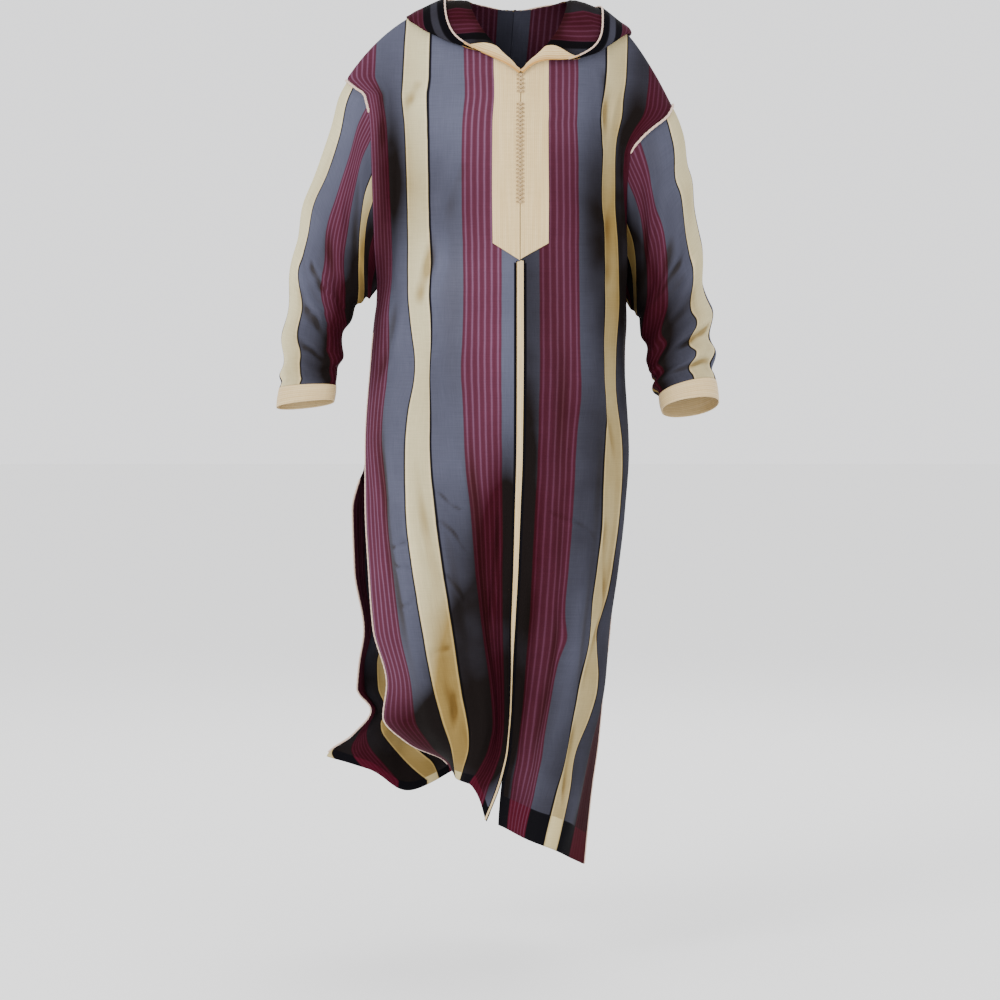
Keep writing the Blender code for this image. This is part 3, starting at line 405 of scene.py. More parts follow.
RIM_CORD_FROM = 0.34      # the rim cord begins at this share round the neck
HOOD_SEAM_FROM = 0.8      # from here the halves lean to their shared back seam
HOOD_SEAM_GAP = 3.8       # which stays this far off the cloth below

# How pale the voile shows, 0 deep and 1 pale: a base, then soft oval spots as
# flat place, height, half width, half height, change. On a sleeve the flat place is the
# turn in degrees, as above, and the height is the place along in millimetres.
# The spots that deepen the voile are mostly painted shade, under the arms, inside the sleeves, between
# the legs and in deep folds, and partly the dark that showed through the sheer cloth.
TONE_AND_SHADE = {
    ("right", "front"): (0.94, (
        (112, -256, 60, 70, -0.36),
        (112, -576, 60, 90, -0.28),
        (64, -1030, 88, 150, -2.8),
        (18, -830, 34, 170, -1.4),
        (52, -790, 36, 80, -0.6),
        (112, -770, 50, 90, -0.3),
        (232, -1110, 80, 60, -0.9),
        (112, -1090, 50, 110, -1.6),
        (180, -1085, 28, 34, -1.0),
        (166, -1180, 70, 90, -0.7),
        (276, -420, 22, 130, -0.6),
        (222, -220, 46, 150, -0.95),
        (210, -600, 70, 900, -0.12),
    )),
    ("left", "front"): (0.24, (
        (70, -80, 110, 110, 0.5),
        (124, -280, 40, 150, -0.24),
        (62, -420, 36, 340, 0.26),
        (10, -900, 20, 330, -0.7),
        (262, -1000, 34, 520, -0.7),
        (112, -980, 24, 120, 0.24),
        (70, -1150, 40, 90, 0.2),
        (212, -1230, 24, 70, 0.2),
        (250, -330, 60, 110, -0.5),
        (212, -250, 36, 190, -0.4),
    )),
    ("right", "back"): (0.4, (
        (250, -1110, 120, 110, -0.5),
        (130, -1150, 110, 110, -0.6),
        (150, -300, 90, 160, 0.2),
    )),
    ("left", "back"): (0.4, (
        (250, -900, 60, 400, -0.35),
        (150, -300, 90, 160, 0.2),
    )),
    ("right", "sleeve"): (0.62, (
        (168, 170, 52, 300, -1.3),
        (300, 220, 70, 460, -0.3),
        (96, 330, 50, 60, -0.3),
        (10, 200, 40, 400, 0.4),
    )),
    ("left", "sleeve"): (0.5, (
        (170, 140, 58, 270, -1.1),
        (140, 110, 30, 130, -0.6),
        (300, 220, 70, 460, -0.3),
        (90, 240, 40, 60, -0.2),
        (10, 200, 40, 400, 0.3),
    )),
}

# Where a panel rolls in and shades itself, with the same columns; the change is a fold's depth
SHADES = {
    ("left", "front"): ((276, -1210, 46, 260, -3.6),),
    ("right", "front"): ((256, -230, 30, 130, -1.8),),
    ("right", "back"): (),
    ("left", "back"): (),
}

# Placket, braid and buttons
PLACKET_HALF = 39.5
PLACKET_END = -330.0
PLACKET_TIP = -357.0
BRAID_WIDTH = 7.6
BUTTON_GROUPS = ((-66, -96), (-112, -268))
BUTTON_STEP = 6.4
BRAID_WIDTHS = ((-1300, 0.7), (-1100, 0.7), (-1010, 0.6), (-920, 1.2), (-357, 1.3))
HEM_TURNS = {             # depth of each turned-up hem
    ("right", "front"): 14.0, ("left", "front"): 48.0,
    ("right", "back"): 14.0, ("left", "back"): 26.0,
}
SEAM_FADE = 40.0          # a panel gives way to its neighbour over this much cloth
SEAM_TURN = 9.0           # cloth turned under beside the centre seam
RIM_TURN = 9.0            # and along the hood's rim
ARMHOLE_CORD_END = {"right": -128.0, "left": -190.0}
CROSSWISE = np.array([0.31, 0.17, 0.93])   # no cord runs this way, so it gives a side to each
LAID_GAP = 0.45           # laid braid stands this far off the cloth
BALL_POLE = 0.06          # a thread ball's first ring, in radians from its top
LOOP_REACH = 3.9          # a button loop: middle, half sizes and the cord's radius
LOOP_WIDE = 2.2
LOOP_HIGH = 1.3
LOOP_CORD = 0.5
VENT_TOP = -1180.0        # the front seam is open below this height
# The cream stripe lies this far in front of a sleeve's outer fold: share along, shift
SLEEVE_SHIFT = {
    "right": ((0.0, 2.0), (0.2, 12.0), (0.5, 27.0), (1.0, 36.0)),
    "left": ((0.0, 16.0), (0.25, 30.0), (0.6, 38.0), (1.0, 42.0)),
}
# Stripe place for each millimetre of cloth past the cream stripe; under 1 the stripes widen
SLEEVE_SPREAD = {"right": 1.0, "left": 0.82}
CREAM_EDGE = 24.0
UNDERARM_WIDTH = 0.7      # turn (radians) and share of the arm where the folds are calmer
UNDERARM_REACH = 0.75
PINCH_WIDTH = 46.0
BACK_PULL = (-1105.0, 78.0, 96.0)   # the right back's stripes slant from here: height, length, shift
# Where strain draws the cream stripe in or lets it out: height, half height, pinch
PINCHES = {
    ("right", "front"): ((-530, 44, 0.5), (-890, 190, -0.18)),
    ("left", "front"): (
        (-130, 26, -0.25), (-196, 34, 0.25), (-300, 60, 0.15), (-565, 46, 0.7),
        (-700, 60, -0.15), (-945, 34, 1.3), (-1030, 40, -0.2), (-1134, 34, 0.9),
    ),
    ("left", "back"): ((-620, 60, 0.3), (-900, 80, -0.15)),
    ("right", "back"): ((-540, 60, 0.3), (-860, 80, -0.15)),
}


# Stage, lengths in metres
FLOOR_HALF = 30.0
ROOM_LIGHT = 1.8
LIGHT_AIM = (0.0, 0.0, -0.6)
LENS = 135.0              # millimetres, on a sensor 36 mm wide
CAMERA_PLACE = (-0.0256, -6.0, -0.52)
CAMERA_FALL = 0.036       # the view drops this much for each metre ahead


def linear(code):
    """Linear light of an sRGB hex colour: the standard two-part curve."""
    values = np.array([int(code[k:k + 2], 16) for k in (1, 3, 5)]) / 255.0
    low = values / 12.92
    high = ((values + 0.055) / 1.055) ** 2.4
    return tuple(float(v) for v in np.where(values <= 0.04045, low, high))


def smooth(at, places, values):
    """Monotone cubic through the values: harmonic mean slopes, so it never overshoots."""
    places = np.asarray(places, float)
    values = np.asarray(values, float)
    if places[0] > places[-1]:
        places = places[::-1]
        values = values[::-1]
    step = np.diff(places)
    slope = np.diff(values) / step
    tangent = np.empty_like(values)
    tangent[0] = slope[0]
    tangent[-1] = slope[-1]
    left = slope[:-1]
    right = slope[1:]
    same = left * right > 0
    bottom = np.where(same, left + right, 1.0)
    tangent[1:-1] = np.where(same, 2 * left * right / bottom, 0.0)
    at = np.clip(np.asarray(at, float), places[0], places[-1])
    k = np.clip(np.searchsorted(places, at) - 1, 0, len(step) - 1)
    t = (at - places[k]) / step[k]
    return hermite(values[k], values[k + 1], tangent[k] * step[k], tangent[k + 1] * step[k], t)


def hermite(start, end, start_slope, end_slope, t):
    """Cubic between two values with given slopes."""
    t2 = t * t
    t3 = t2 * t
    return (
        start * (2 * t3 - 3 * t2 + 1)
        + start_slope * (t3 - 2 * t2 + t)
        + end * (3 * t2 - 2 * t3)
        + end_slope * (t3 - t2)
    )


def ease(value):
    """Smooth step from 0 to 1: three squares less two cubes."""
    value = np.clip(value, 0.0, 1.0)
    return value * value * (3 - 2 * value)


def unit(vectors):
    """Vectors scaled to length one."""
    length = np.linalg.norm(vectors, axis=-1, keepdims=True)
    return vectors / np.maximum(length, 1e-9)


def column(rows, names, name):
    """One named column of a table."""
    place = names.index(name)
    return np.array([row[place] for row in rows], float)


def shoulder_line(side, s):
    """Shoulder height: the neck side's height less the drop times a power of the share out."""
    drop, power = SHOULDER[side]
    q = np.clip((s - NECK_SIDE) / (HALF_WIDTH - NECK_SIDE), 0.0, 1.0)
    return NECK_BACK[-1][1] - drop * q ** power


def top_edge(side, face, s):
    """Height of the top edge of a panel: neck opening, then shoulder line."""
    neck = NECK_FRONT if face == "front" else NECK_BACK
    low = smooth(np.minimum(s, NECK_SIDE), *zip(*neck))
    return np.where(s < NECK_SIDE, low, shoulder_line(side, s))


def guide_points(side, face, z):
    """Places of the four guide lines of a panel at the heights z."""
    rows = PANELS[(side, face)]
    heights = column(rows, PANEL_COLUMNS, "z")
    found = []
    for k in range(4):
        x = smooth(z, heights, column(rows, PANEL_COLUMNS, "x%d" % k))
        y = smooth(z, heights, column(rows, PANEL_COLUMNS, "y%d" % k))
        found.append(np.stack([x, y], axis=-1))
    return found


def base_point(side, face, s, z):
    """Smooth panel surface: cubics across the guide lines at height z.

    Near the shoulder line the depth shrinks as a quarter circle, so front and back meet.
    """
    other = "left" if side == "right" else "right"
    turned = "back" if face == "front" else "front"
    own = guide_points(side, face, z)
    mirror = guide_points(other, face, z)
    behind = guide_points(side, turned, z)
    outermost = GUIDES[3] - GUIDES[2]
    slopes = [
        (own[1] - mirror[1]) / (2 * GUIDES[1]),
        (own[2] - own[0]) / GUIDES[2],
        (own[3] - own[1]) / (GUIDES[3] - GUIDES[1]),
    ]
    free = (own[3] - own[2]) / outermost
    joined = (behind[2] - own[2]) / (2 * outermost)
    under = ease((UNDERARM[side] - z + 20.0) / 70.0)
    above = ease((z - SLIT_TOP[side] + 80.0) / 120.0)
    weight = (under * above)[..., None]
    slopes.append(free * (1 - weight) + joined * weight)
    xy = np.zeros(s.shape + (2,))
    for k in range(3):
        width = GUIDES[k + 1] - GUIDES[k]
        t = (s - GUIDES[k]) / width
        inside = (t >= 0) & (t <= 1)
        part = hermite(own[k], own[k + 1], slopes[k] * width, slopes[k + 1] * width, t[..., None])
        xy = np.where(inside[..., None], part, xy)
    ridge = shoulder_line(side, s)
    if face == "back":
        ridge = ridge + 42.0 * np.clip(1 - s / NECK_SIDE, 0.0, 1.0) ** 1.4
    drop = np.clip((ridge - z) / SHOULDER_ROUND, 0.0, 1.0)
    turn = np.sqrt(np.maximum(0.0, 1 - (1 - drop) ** 2))
    return np.stack([xy[..., 0], xy[..., 1] * turn, z], axis=-1)


def fold_depth(side, face, s, z):
    """Long folds: bell curves across a leaning line, eased in at the top and out at the foot."""
    depth = np.zeros(s.shape)
    for s_top, s_foot, z_top, z_foot, width, push in FOLDS[(side, face)]:
        t = np.clip((z_top - z) / (z_top - z_foot), 0.0, 1.0)
        middle = s_top + (s_foot - s_top) * t
        reach = ease((z_top - z) / 160.0 + 0.2) * ease((z - z_foot) / 90.0 + 0.4)
        depth += push * np.exp(-((s - middle) / width) ** 2) * reach
    return depth * ease(s / 45.0) * ease((HALF_WIDTH - s) / 40.0)


def crease_depth(table, across, along, lean=1.0):
    """Fine creases: a bell curve across a bowed line, tapered at both ends and uneven along.

    Each trough carries a thin ridge on one side, as cloth does where it buckles.
    """
    depth = np.zeros(across.shape)
    for number, (s0, z0, s1, z1, bow, width, push) in enumerate(table):
        run = np.array([s1 - s0, z1 - z0], float)
        length = np.hypot(*run)
        ux, uz = run / length
        t = ((across - s0) * ux + (along - z0) * uz) / length
        off = (across - s0) * uz - (along - z0) * ux
        off = off + bow * np.sin(np.pi * np.clip(t, 0, 1)) * np.cos(2.1 * number)
        off = off + 1.6 * np.sin(9.0 * t + number)
        taper = ease(t / 0.3) * ease((1 - t) / 0.3)
        uneven = 0.75 + 0.25 * np.sin(14.0 * t + 1.7 * number)
        bell = np.exp(-(off / width) ** 2)
        beside = np.exp(-((off - 1.9 * width) / (0.8 * width)) ** 2)
        depth += push * taper * uneven * (bell - 0.45 * lean * beside)
    return depth


def bells(spots, across, along):
    """Sum of bell surfaces, one for every spot."""
    total = np.zeros(across.shape)
    for place, height, wide, high, change in spots:
        total += change * np.exp(-((across - place) / wide) ** 2 - ((along - height) / high) ** 2)
    return total


def tone_and_shade_of(key, across, along):
    """How pale the voile shows, with its painted shade: the base value plus its spots, kept from 0 to
    1.
    """
    base, spots = TONE_AND_SHADE[key]
    return np.clip(base + bells(spots, across, along), 0.0, 1.0)


def ripple(across, along, seed):
    """Slight waviness of limp cloth: a sum of slow sine waves of unlike length."""
    wave = 0.55 * np.sin(across / 23.0 + 0.7 * seed + 0.8 * np.sin(along / 190.0 + seed))
    wave += 0.4 * np.sin(across / 13.0 - along / 260.0 + 2.1 * seed)
    wave += 0.35 * np.sin(across / 37.0 + along / 74.0 + 1.3 * seed)
    return wave


def surface_normals(grid, around=False):
    """Vertex normals of a grid: cross product of its two directions."""
    if around:
        across = np.roll(grid, -1, axis=1) - np.roll(grid, 1, axis=1)
    else:
        across = np.gradient(grid, axis=1)
    down = np.gradient(grid, axis=0)
    return unit(np.cross(across, down))


def turned_to(normals, facing):
    """The normals, all reversed if on the whole they point against the given way."""
    return -normals if np.mean(np.sum(normals * facing, axis=-1)) < 0 else normals


def row_shares(side, face):
    """Share of the way from top edge to hem of each row, at the centre and at the side seam."""
    top = top_edge(side, face, np.array([HALF_WIDTH]))[0]
    hem = HEM[(side, face)][3]
    under = UNDERARM[side]
    slit = SLIT_TOP[side]
    arm = np.linspace(0.0, 1.0, ARM_ROWS + 1) ** 1.6
    joined = np.linspace(0.0, 1.0, SEAM_ROWS + 1)[1:]
    rest = np.linspace(0.0, 1.0, SKIRT_ROWS + 1)[1:]
    seam = np.concatenate([
        top + (under - top) * arm,
        under + (slit - under) * joined,
        slit + (hem - slit) * rest,
    ])
    side_share = (top - seam) / (top - hem)
    centre_top = top_edge(side, face, np.array([0.0]))[0]
    centre_hem = HEM[("right", face)][0]
    below = np.linspace(0.0, 1.0, SEAM_ROWS + SKIRT_ROWS + 1)[1:]
    marks = np.concatenate([
        centre_top + (CENTRE_UNDERARM - centre_top) * arm,
        CENTRE_UNDERARM + (centre_hem - CENTRE_UNDERARM) * below,
    ])
    centre_share = (centre_top - marks) / (centre_top - centre_hem)
    return centre_share, side_share


def panel_grid(side, face, strength):
    """Outer surface of a body panel: rows down, columns from the centre seam."""
    s = np.linspace(0.0, HALF_WIDTH, PANEL_COLS)
    centre_share, side_share = row_shares(side, face)
    blend = (s / HALF_WIDTH)[None, :]
    share = centre_share[:, None] * (1 - blend) + side_share[:, None] * blend
    top = top_edge(side, face, s)[None, :]
    hem = smooth(s, GUIDES, HEM[(side, face)])[None, :]
    z = top + (hem - top) * share
    flat = np.broadcast_to(s[None, :], z.shape)
    base = base_point(side, face, flat, z)
    way = np.array([0.0, -1.0 if face == "front" else 1.0, 0.0])
    facing = turned_to(surface_normals(base), way)
    seed = 1.0 + 2.0 * (side == "left") + 4.0 * (face == "back")
    fine = crease_depth(CREASES[(side, face)], flat, z)
    calm = ease((-120.0 - z) / 300.0) * 0.8 + 0.2
    fine = fine + ripple(flat, z, seed) * calm
    fine = fine * strength * ease(s / 24.0) * ease((HALF_WIDTH - s) / 22.0)
    fine = fine * ease((top - z) / 30.0)
    depth = fold_depth(side, face, flat, z) + fine
    grid = base + facing * depth[..., None]
    return {"grid": grid, "way": way, "s": flat, "z": z, "fold": fine, "hem": z - hem}


def ring_points(sizes, angles):
    """Points of sleeve rings: a rounded flat oval; angle 0 is the outer fold, pi the inner one."""
    ox, oz, ix, iz, y, half, lift = [np.asarray(value)[..., None] for value in sizes]
    c = np.cos(angles)
    s = np.sin(angles)
    wide = np.sign(c) * np.abs(c) ** 0.9
    deep = np.sign(s) * np.abs(s) ** 0.9
    x = (ox + ix) / 2 + (ox - ix) / 2 * wide
    z = (oz + iz) / 2 + (oz - iz) / 2 * wide + lift * deep
    return np.stack([x, y - half * deep, z], axis=-1)


def sleeve_grid(side, front, back, strength):
    """Outer surface of a sleeve: ovals from the armhole to the cuff.

    The first ring is the armhole itself; its difference from the oval fades along the arm.
    """
    edge_front = front["grid"][: ARM_ROWS + 1, -1]
    edge_back = back["grid"][: ARM_ROWS + 1, -1]
    armhole = np.concatenate([edge_front, edge_back[-2:0:-1]])
    run = running(edge_front)
    run = run / run[-1]
    angles = np.concatenate([run * math.pi, 2 * math.pi - run[-2:0:-1] * math.pi])
    rows = SLEEVES[side]
    places = np.linspace(0.0, 1.0, len(rows))
    share = np.linspace(0.0, 1.0, SLEEVE_ROWS + 1)
    sizes = [smooth(share, places, column(rows, RING_COLUMNS, name)) for name in RING_COLUMNS]
    rings = ring_points(sizes, angles)
    shift = armhole - rings[0]
    rings = rings + shift[None] * (1 - ease(share / 0.55))[:, None, None]
    middle = rings.mean(axis=1, keepdims=True)
    down = share[:, None]
    push = np.zeros(rings.shape[:2])
    for place, width, depth, lean in SLEEVE_FOLDS[side]:
        here = place + lean * np.cos(angles)[None, :]
        wobble = 0.02 * np.sin(3 * angles + 9 * place)[None, :]
        shape = np.exp(-((down - here - wobble) / width) ** 2)
        trough = np.exp(-((down - here - wobble - width * 1.6) / width) ** 2)
        push += depth * (shape - 0.7 * trough)
    push *= ease(down / 0.12) * ease((1 - down) / 0.06)
    # the rings crowd together at the underarm, so the folds run out there
    crowd = np.exp(-((angles - math.pi) / UNDERARM_WIDTH) ** 2)[None, :]
    calm = 1 - 0.85 * crowd * (1 - ease(down / UNDERARM_REACH))
    length = np.linalg.norm(np.diff(rings, axis=0), axis=-1).sum(axis=0).mean()
    girth = np.linalg.norm(np.diff(rings, axis=1), axis=-1).sum(axis=1).mean()
    turn = np.degrees(angles)[None, :] + np.zeros_like(push)
    fine = np.zeros_like(push)
    for shift_turn in (-360.0, 0.0, 360.0):
        around = (turn + shift_turn) * girth / 360.0
        table = [
            (a * girth / 360.0, s * length, b * girth / 360.0, e * length, 5.0, w, d)
            for a, s, b, e, w, d in SLEEVE_CREASES[side]
        ]
        fine += crease_depth(table, around, down * length)
    fine += 0.5 * np.sin(5 * angles + 8 * down) + 0.4 * np.sin(8 * angles - 15 * down)
    fine *= strength * ease(down / 0.06) * ease((1 - down) / 0.04) * calm
    out = unit(rings - middle)
    grid = rings + out * (push * calm + fine)[..., None]
    step = np.linalg.norm(np.diff(grid, axis=1, append=grid[:, :1]), axis=-1)
    half = len(angles) // 2
    front_run = np.cumsum(step[:, :half], axis=1)
    back_run = np.cumsum(step[:, :half - 1:-1], axis=1)[:, ::-1]
    left = np.concatenate([np.zeros((len(share), 1)), front_run[:, :-1], -back_run], axis=1)
    right = np.concatenate([front_run, -back_run[:, 1:], np.zeros((len(share), 1))], axis=1)
    along = down * length + np.zeros_like(push)
    shift = smooth(down, *zip(*SLEEVE_SHIFT[side]))
    spread = SLEEVE_SPREAD[side]
    left, right = (
        np.minimum(run - shift, CREAM_EDGE) + spread * np.maximum(run - shift - CREAM_EDGE, 0.0)
        for run in (left, right))
    return {
        "grid": grid, "angles": angles, "fold": fine, "left": left, "right": right,
        "along": along, "tone": tone_and_shade_of((side, "sleeve"), turn, along),
    }


def grid_quads(rows, cols, lines, spans):
    """Corner numbers of a grid's faces; a line or span past the last one meets the first."""
    i, j = np.meshgrid(np.arange(lines), np.arange(spans), indexing="ij")
    n = (j + 1) % cols
    d = (i + 1) % rows
    quads = (i * cols + j, i * cols + n, d * cols + n, d * cols + j)
    return np.stack(quads, axis=-1).reshape(-1, 4)


def tube_quads(rows, cols):
    """Faces of a tube whose ends are closed at two further points, two cells at a time."""
    j = np.arange(0, cols, 2)
    n = (j + 1) % cols
    m = (j + 2) % cols
    low = (rows - 1) * cols
    first = np.full_like(j, rows * cols)
    return np.concatenate([
        grid_quads(rows, cols, rows - 1, cols),
        np.stack([first, m, n, j], axis=-1),
        np.stack([first + 1, low + j, low + n, low + m], axis=-1),
    ])


def wall_quads(rows, cols, around):
    """Corner numbers of a closed wall: outer skin, inner skin, and a strip round each edge."""
    span = cols if around else cols - 1
    outer = grid_quads(rows, cols, rows - 1, span)
    half = rows * cols
    j = np.arange(span)
    n = (j + 1) % cols
    low = (rows - 1) * cols
    strips = [
        outer, outer[:, ::-1] + half,
        np.stack([n, j, j + half, n + half], axis=-1),
        np.stack([low + j, low + n, low + n + half, low + j + half], axis=-1),
    ]
    if not around:
        a = np.arange(rows - 1) * cols
        b = a + cols - 1
        strips.append(np.stack([a, a + cols, a + cols + half, a + half], axis=-1))
        strips.append(np.stack([b + cols, b, b + half, b + cols + half], axis=-1))
    return np.concatenate(strips)


def signed_volume(points, quads):
    """Volume of a closed mesh by its corner tetrahedra; negative when it is inside out."""
    a, b, c, d = [points[quads[:, k]] for k in range(4)]
    first = np.einsum("ij,ij->i", a, np.cross(b, c)).sum()
    second = np.einsum("ij,ij->i", a, np.cross(c, d)).sum()
    return (first + second) / 6.0


def put_mesh(name, points, quads, material, uv=None, marks=None):
    """Make one object from points in millimetres, with a UV per face corner in metres."""
    flip = signed_volume(points, quads) < 0
    if flip:
        quads = quads[:, ::-1]
        uv = None if uv is None else uv[:, ::-1]
    mesh = bpy.data.meshes.new(name)
    mesh.vertices.add(len(points))
    mesh.vertices.foreach_set("co", np.ascontiguousarray(points * MM, dtype=np.float32).ravel())
    mesh.loops.add(quads.size)
    mesh.loops.foreach_set("vertex_index", np.ascontiguousarray(quads, dtype=np.int32).ravel())
    mesh.polygons.add(len(quads))
    mesh.polygons.foreach_set("loop_start", np.arange(0, quads.size, 4, dtype=np.int32))
    mesh.polygons.foreach_set("use_smooth", np.ones(len(quads), dtype=bool))
    mesh.update(calc_edges=True)
    if uv is not None:
        layer = mesh.uv_layers.new(name="weave")
        layer.data.foreach_set("uv", np.ascontiguousarray(uv * MM, dtype=np.float32).ravel())
    for key, values in (marks or {}).items():
        made = mesh.attributes.new(key, "FLOAT", "POINT")
        made.data.foreach_set("value", np.ascontiguousarray(values, dtype=np.float32).ravel())
    mesh.materials.append(material)
    piece = bpy.data.objects.new(name, mesh)
    bpy.context.scene.collection.objects.link(piece)
    return piece


def pair(u, v):
    """Two flat directions as one array of UV points."""
    return np.stack(np.broadcast_arrays(u, v), axis=-1)


def skin_uv(start, finish):
    """UV corners of faces between rows, from the left and right edge of each cell."""
    corners = [start[:-1], finish[:-1], finish[1:], start[1:]]
    return np.stack(corners, axis=2).reshape(-1, 4, 2)


def cell_uv(left, right, along, around):
    """UV corners of all of a wall's faces, in the order of wall_quads."""
    span = left.shape[1]
    start = pair(left, along[:, :span])
    finish = pair(right, np.roll(along, -1, axis=1)[:, :span])
    skin = skin_uv(start, finish)
    parts = [
        skin, skin[:, ::-1],
        np.stack([finish[0], start[0], start[0], finish[0]], axis=1),
        np.stack([start[-1], finish[-1], finish[-1], start[-1]], axis=1),
    ]
    if not around:
        first = pair(left[:, 0], along[:, 0])
        last = pair(right[:, -1], along[:, -1])
        parts.append(np.stack([first[:-1], first[1:], first[1:], first[:-1]], axis=1))
        parts.append(np.stack([last[1:], last[:-1], last[:-1], last[1:]], axis=1))
    return np.concatenate(parts)


def add_wall(name, outer, normals, thickness, material, left, right, along, marks, around=False):
    """Closed cloth wall: the outer surface and a copy moved in by the thickness."""
    inner = outer - normals * np.asarray(thickness)[..., None]
    points = np.concatenate([outer.reshape(-1, 3), inner.reshape(-1, 3)])
    quads = wall_quads(*outer.shape[:2], around)
    uv = cell_uv(left, right, along, around)
    both = {key: np.concatenate([value.ravel(), value.ravel()]) for key, value in marks.items()}
    return put_mesh(name, points, quads, material, uv, both)


def add_flat_wall(name, grid, normals, thickness, material, u, v, marks):
    """Wall of an open piece whose flat places are given at its points."""
    return add_wall(name, grid, normals, thickness, material, u[:, :-1], u[:, 1:], v, marks)


def running(grid, axis=0):
    """Distance run along a path, or along each row of a grid, starting at 0."""
    step = np.linalg.norm(np.diff(grid, axis=axis), axis=-1)
    start = np.zeros_like(step.take([0], axis=axis))
    return np.concatenate([start, np.cumsum(step, axis=axis)], axis)


def add_cord(name, path, radius, pitch, material, around=12):
    """Twisted cord: a tube whose radius ripples with the turn of three strands."""
    path = dense(path, CORD_STEP)
    run = running(path)
    way = unit(np.gradient(path, axis=0))
    side = unit(np.cross(way, CROSSWISE))
    up = np.cross(way, side)
    turn = np.arange(around) * 2 * math.pi / around
    strand = 3 * turn[None, :] + 2 * math.pi * run[:, None] / pitch
    close = np.minimum(run, run[-1] - run) / radius
    cap = np.sqrt(np.clip(1 - (1 - np.clip(close, 0, 1)) ** 2, 0.02, 1))
    size = radius * (0.9 + 0.12 * np.cos(strand)) * cap[:, None]
    ring = np.cos(turn)[None, :, None] * side[:, None] + np.sin(turn)[None, :, None] * up[:, None]
    grid = path[:, None] + ring * size[..., None]
    return add_tube(name, grid, material, turn * radius, run)


def add_tube(name, grid, material, u, v):
    """Closed tube of rings, each end shut with a point."""
    rows, cols = grid.shape[:2]
    points = np.concatenate([grid.reshape(-1, 3), grid[[0, -1]].mean(axis=1)])
    following = np.append(u[1:], 2 * u[-1] - u[-2])
    uv = skin_uv(pair(u, v[:, None]), pair(following, v[:, None]))
    uv = np.concatenate([uv, np.zeros((cols, 4, 2))])
    return put_mesh(name, points, tube_quads(rows, cols), material, uv)


def add_copies(name, points, quads, centres, material):
    """Copies of one closed shape at several places, joined in one mesh."""
    spots = (points[None] + centres[:, None]).reshape(-1, 3)
    step = np.arange(len(centres))[:, None, None] * len(points)
    faces = (quads[None] + step).reshape(-1, 4)
    return put_mesh(name, spots, faces, material, spots[faces][..., [0, 2]])


def dense(path, gap):
    """The path with points a given gap apart, on a smooth curve through its points."""
    path = np.asarray(path, float)
    step = np.linalg.norm(np.diff(path, axis=0), axis=1)
    run = np.concatenate([[0.0], np.cumsum(np.maximum(step, 1e-6))])
    slope = np.gradient(path, run, axis=0)
    at = np.linspace(0.0, run[-1], max(8, int(run[-1] / gap)))
    k = np.clip(np.searchsorted(run, at, side="right") - 1, 0, len(step) - 1)
    width = (run[k + 1] - run[k])[:, None]
    t = ((at - run[k])[:, None]) / width
    return hermite(path[k], path[k + 1], slope[k] * width, slope[k + 1] * width, t)


def above_cloth(points, places, normals):
    """Height of points over the nearest cloth place, along its normal, and that normal."""
    flat = points.reshape(-1, 3)
    squared = (places ** 2).sum(axis=1)
    nearest = np.concatenate([
        np.argmin(squared[None] - 2 * flat[k:k + 1500] @ places.T, axis=1)
        for k in range(0, len(flat), 1500)
    ])
    way = normals[nearest]
    height = ((flat - places[nearest]) * way).sum(axis=1)
    return height.reshape(points.shape[:-1]), way.reshape(points.shape)


def lift_clear(points, clearance, cloth, rounds=2):
    """Points moved out along the cloth's normal until they stand clear of it."""
    for _ in range(rounds):
        height, way = above_cloth(points, *cloth)
        points = points + way * np.maximum(0.0, clearance - height)[..., None]
    return points


def profile_curves(path, parts):
    """Smooth curves through rows of points, all rows at once, with chord-weighted slopes."""
    step = np.maximum(np.linalg.norm(np.diff(path, axis=1), axis=-1), 1e-3)
    before = step[:, :-1, None]
    after = step[:, 1:, None]
    rise = np.diff(path, axis=1) / step[..., None]
    inner = (rise[:, :-1] * after + rise[:, 1:] * before) / (before + after)
    slope = np.concatenate([rise[:, :1], inner, rise[:, -1:]], axis=1)
    t = np.linspace(0.0, 1.0, parts, endpoint=False)[None, None, :, None]
    width = step[..., None, None]
    curve = hermite(
        path[:, :-1, None], path[:, 1:, None],
        slope[:, :-1, None] * width, slope[:, 1:, None] * width, t,
    )
    curve = curve.reshape(len(path), -1, 3)
    return np.concatenate([curve, path[:, -1:]], axis=1)


def resample_rows(curve, marks):
    """Points at given distances along each row of curves."""
    run = running(curve, axis=1)
    k = (run[:, None, :] <= marks[:, :, None]).sum(axis=-1) - 1
    k = np.clip(k, 0, curve.shape[1] - 2)
    row = np.arange(len(curve))[:, None]
    width = np.maximum(run[row, k + 1] - run[row, k], 1e-9)
    t = ((marks - run[row, k]) / width)[..., None]
    return curve[row, k] * (1 - t) + curve[row, k + 1] * t


def neck_line(side):
    """Neck edge from the front point round the side to the centre back, with its outward way."""
    u = np.linspace(0.0, 1.0, HOOD_STATIONS)
    at = 10.0 * u
    count = np.arange(6)
    ahead = np.interp(np.minimum(at, 5.0), count, NECK_STOPS)
    behind = np.interp(np.maximum(at - 5.0, 0.0), count, NECK_STOPS[::-1])
    points = []
    for face, s in (("front", ahead), ("back", behind)):
        z = top_edge(side, face, s)
        spot = base_point(side, face, s, z)
        beside = base_point(side, face, s + 1.0, z)
        under = base_point(side, face, s, z - 1.0)
        way = np.cross(beside - spot, under - spot)
        sign = np.array([0.0, -1.0 if face == "front" else 1.0, 0.6])
        way = np.where((way @ sign)[:, None] < 0, -way, way)
        points.append((spot, unit(way)))
    first = (at <= 5.0)[:, None]
    place = np.where(first, points[0][0], points[1][0])
    way = np.where(first, points[0][1], points[1][1])
    soft = ease((1.5 - np.abs(at - 5.0)) / 1.5)[:, None]
    way = unit(way * (1 - soft) + soft * np.array([0.0, 0.0, 1.0]))
    return u, place, way


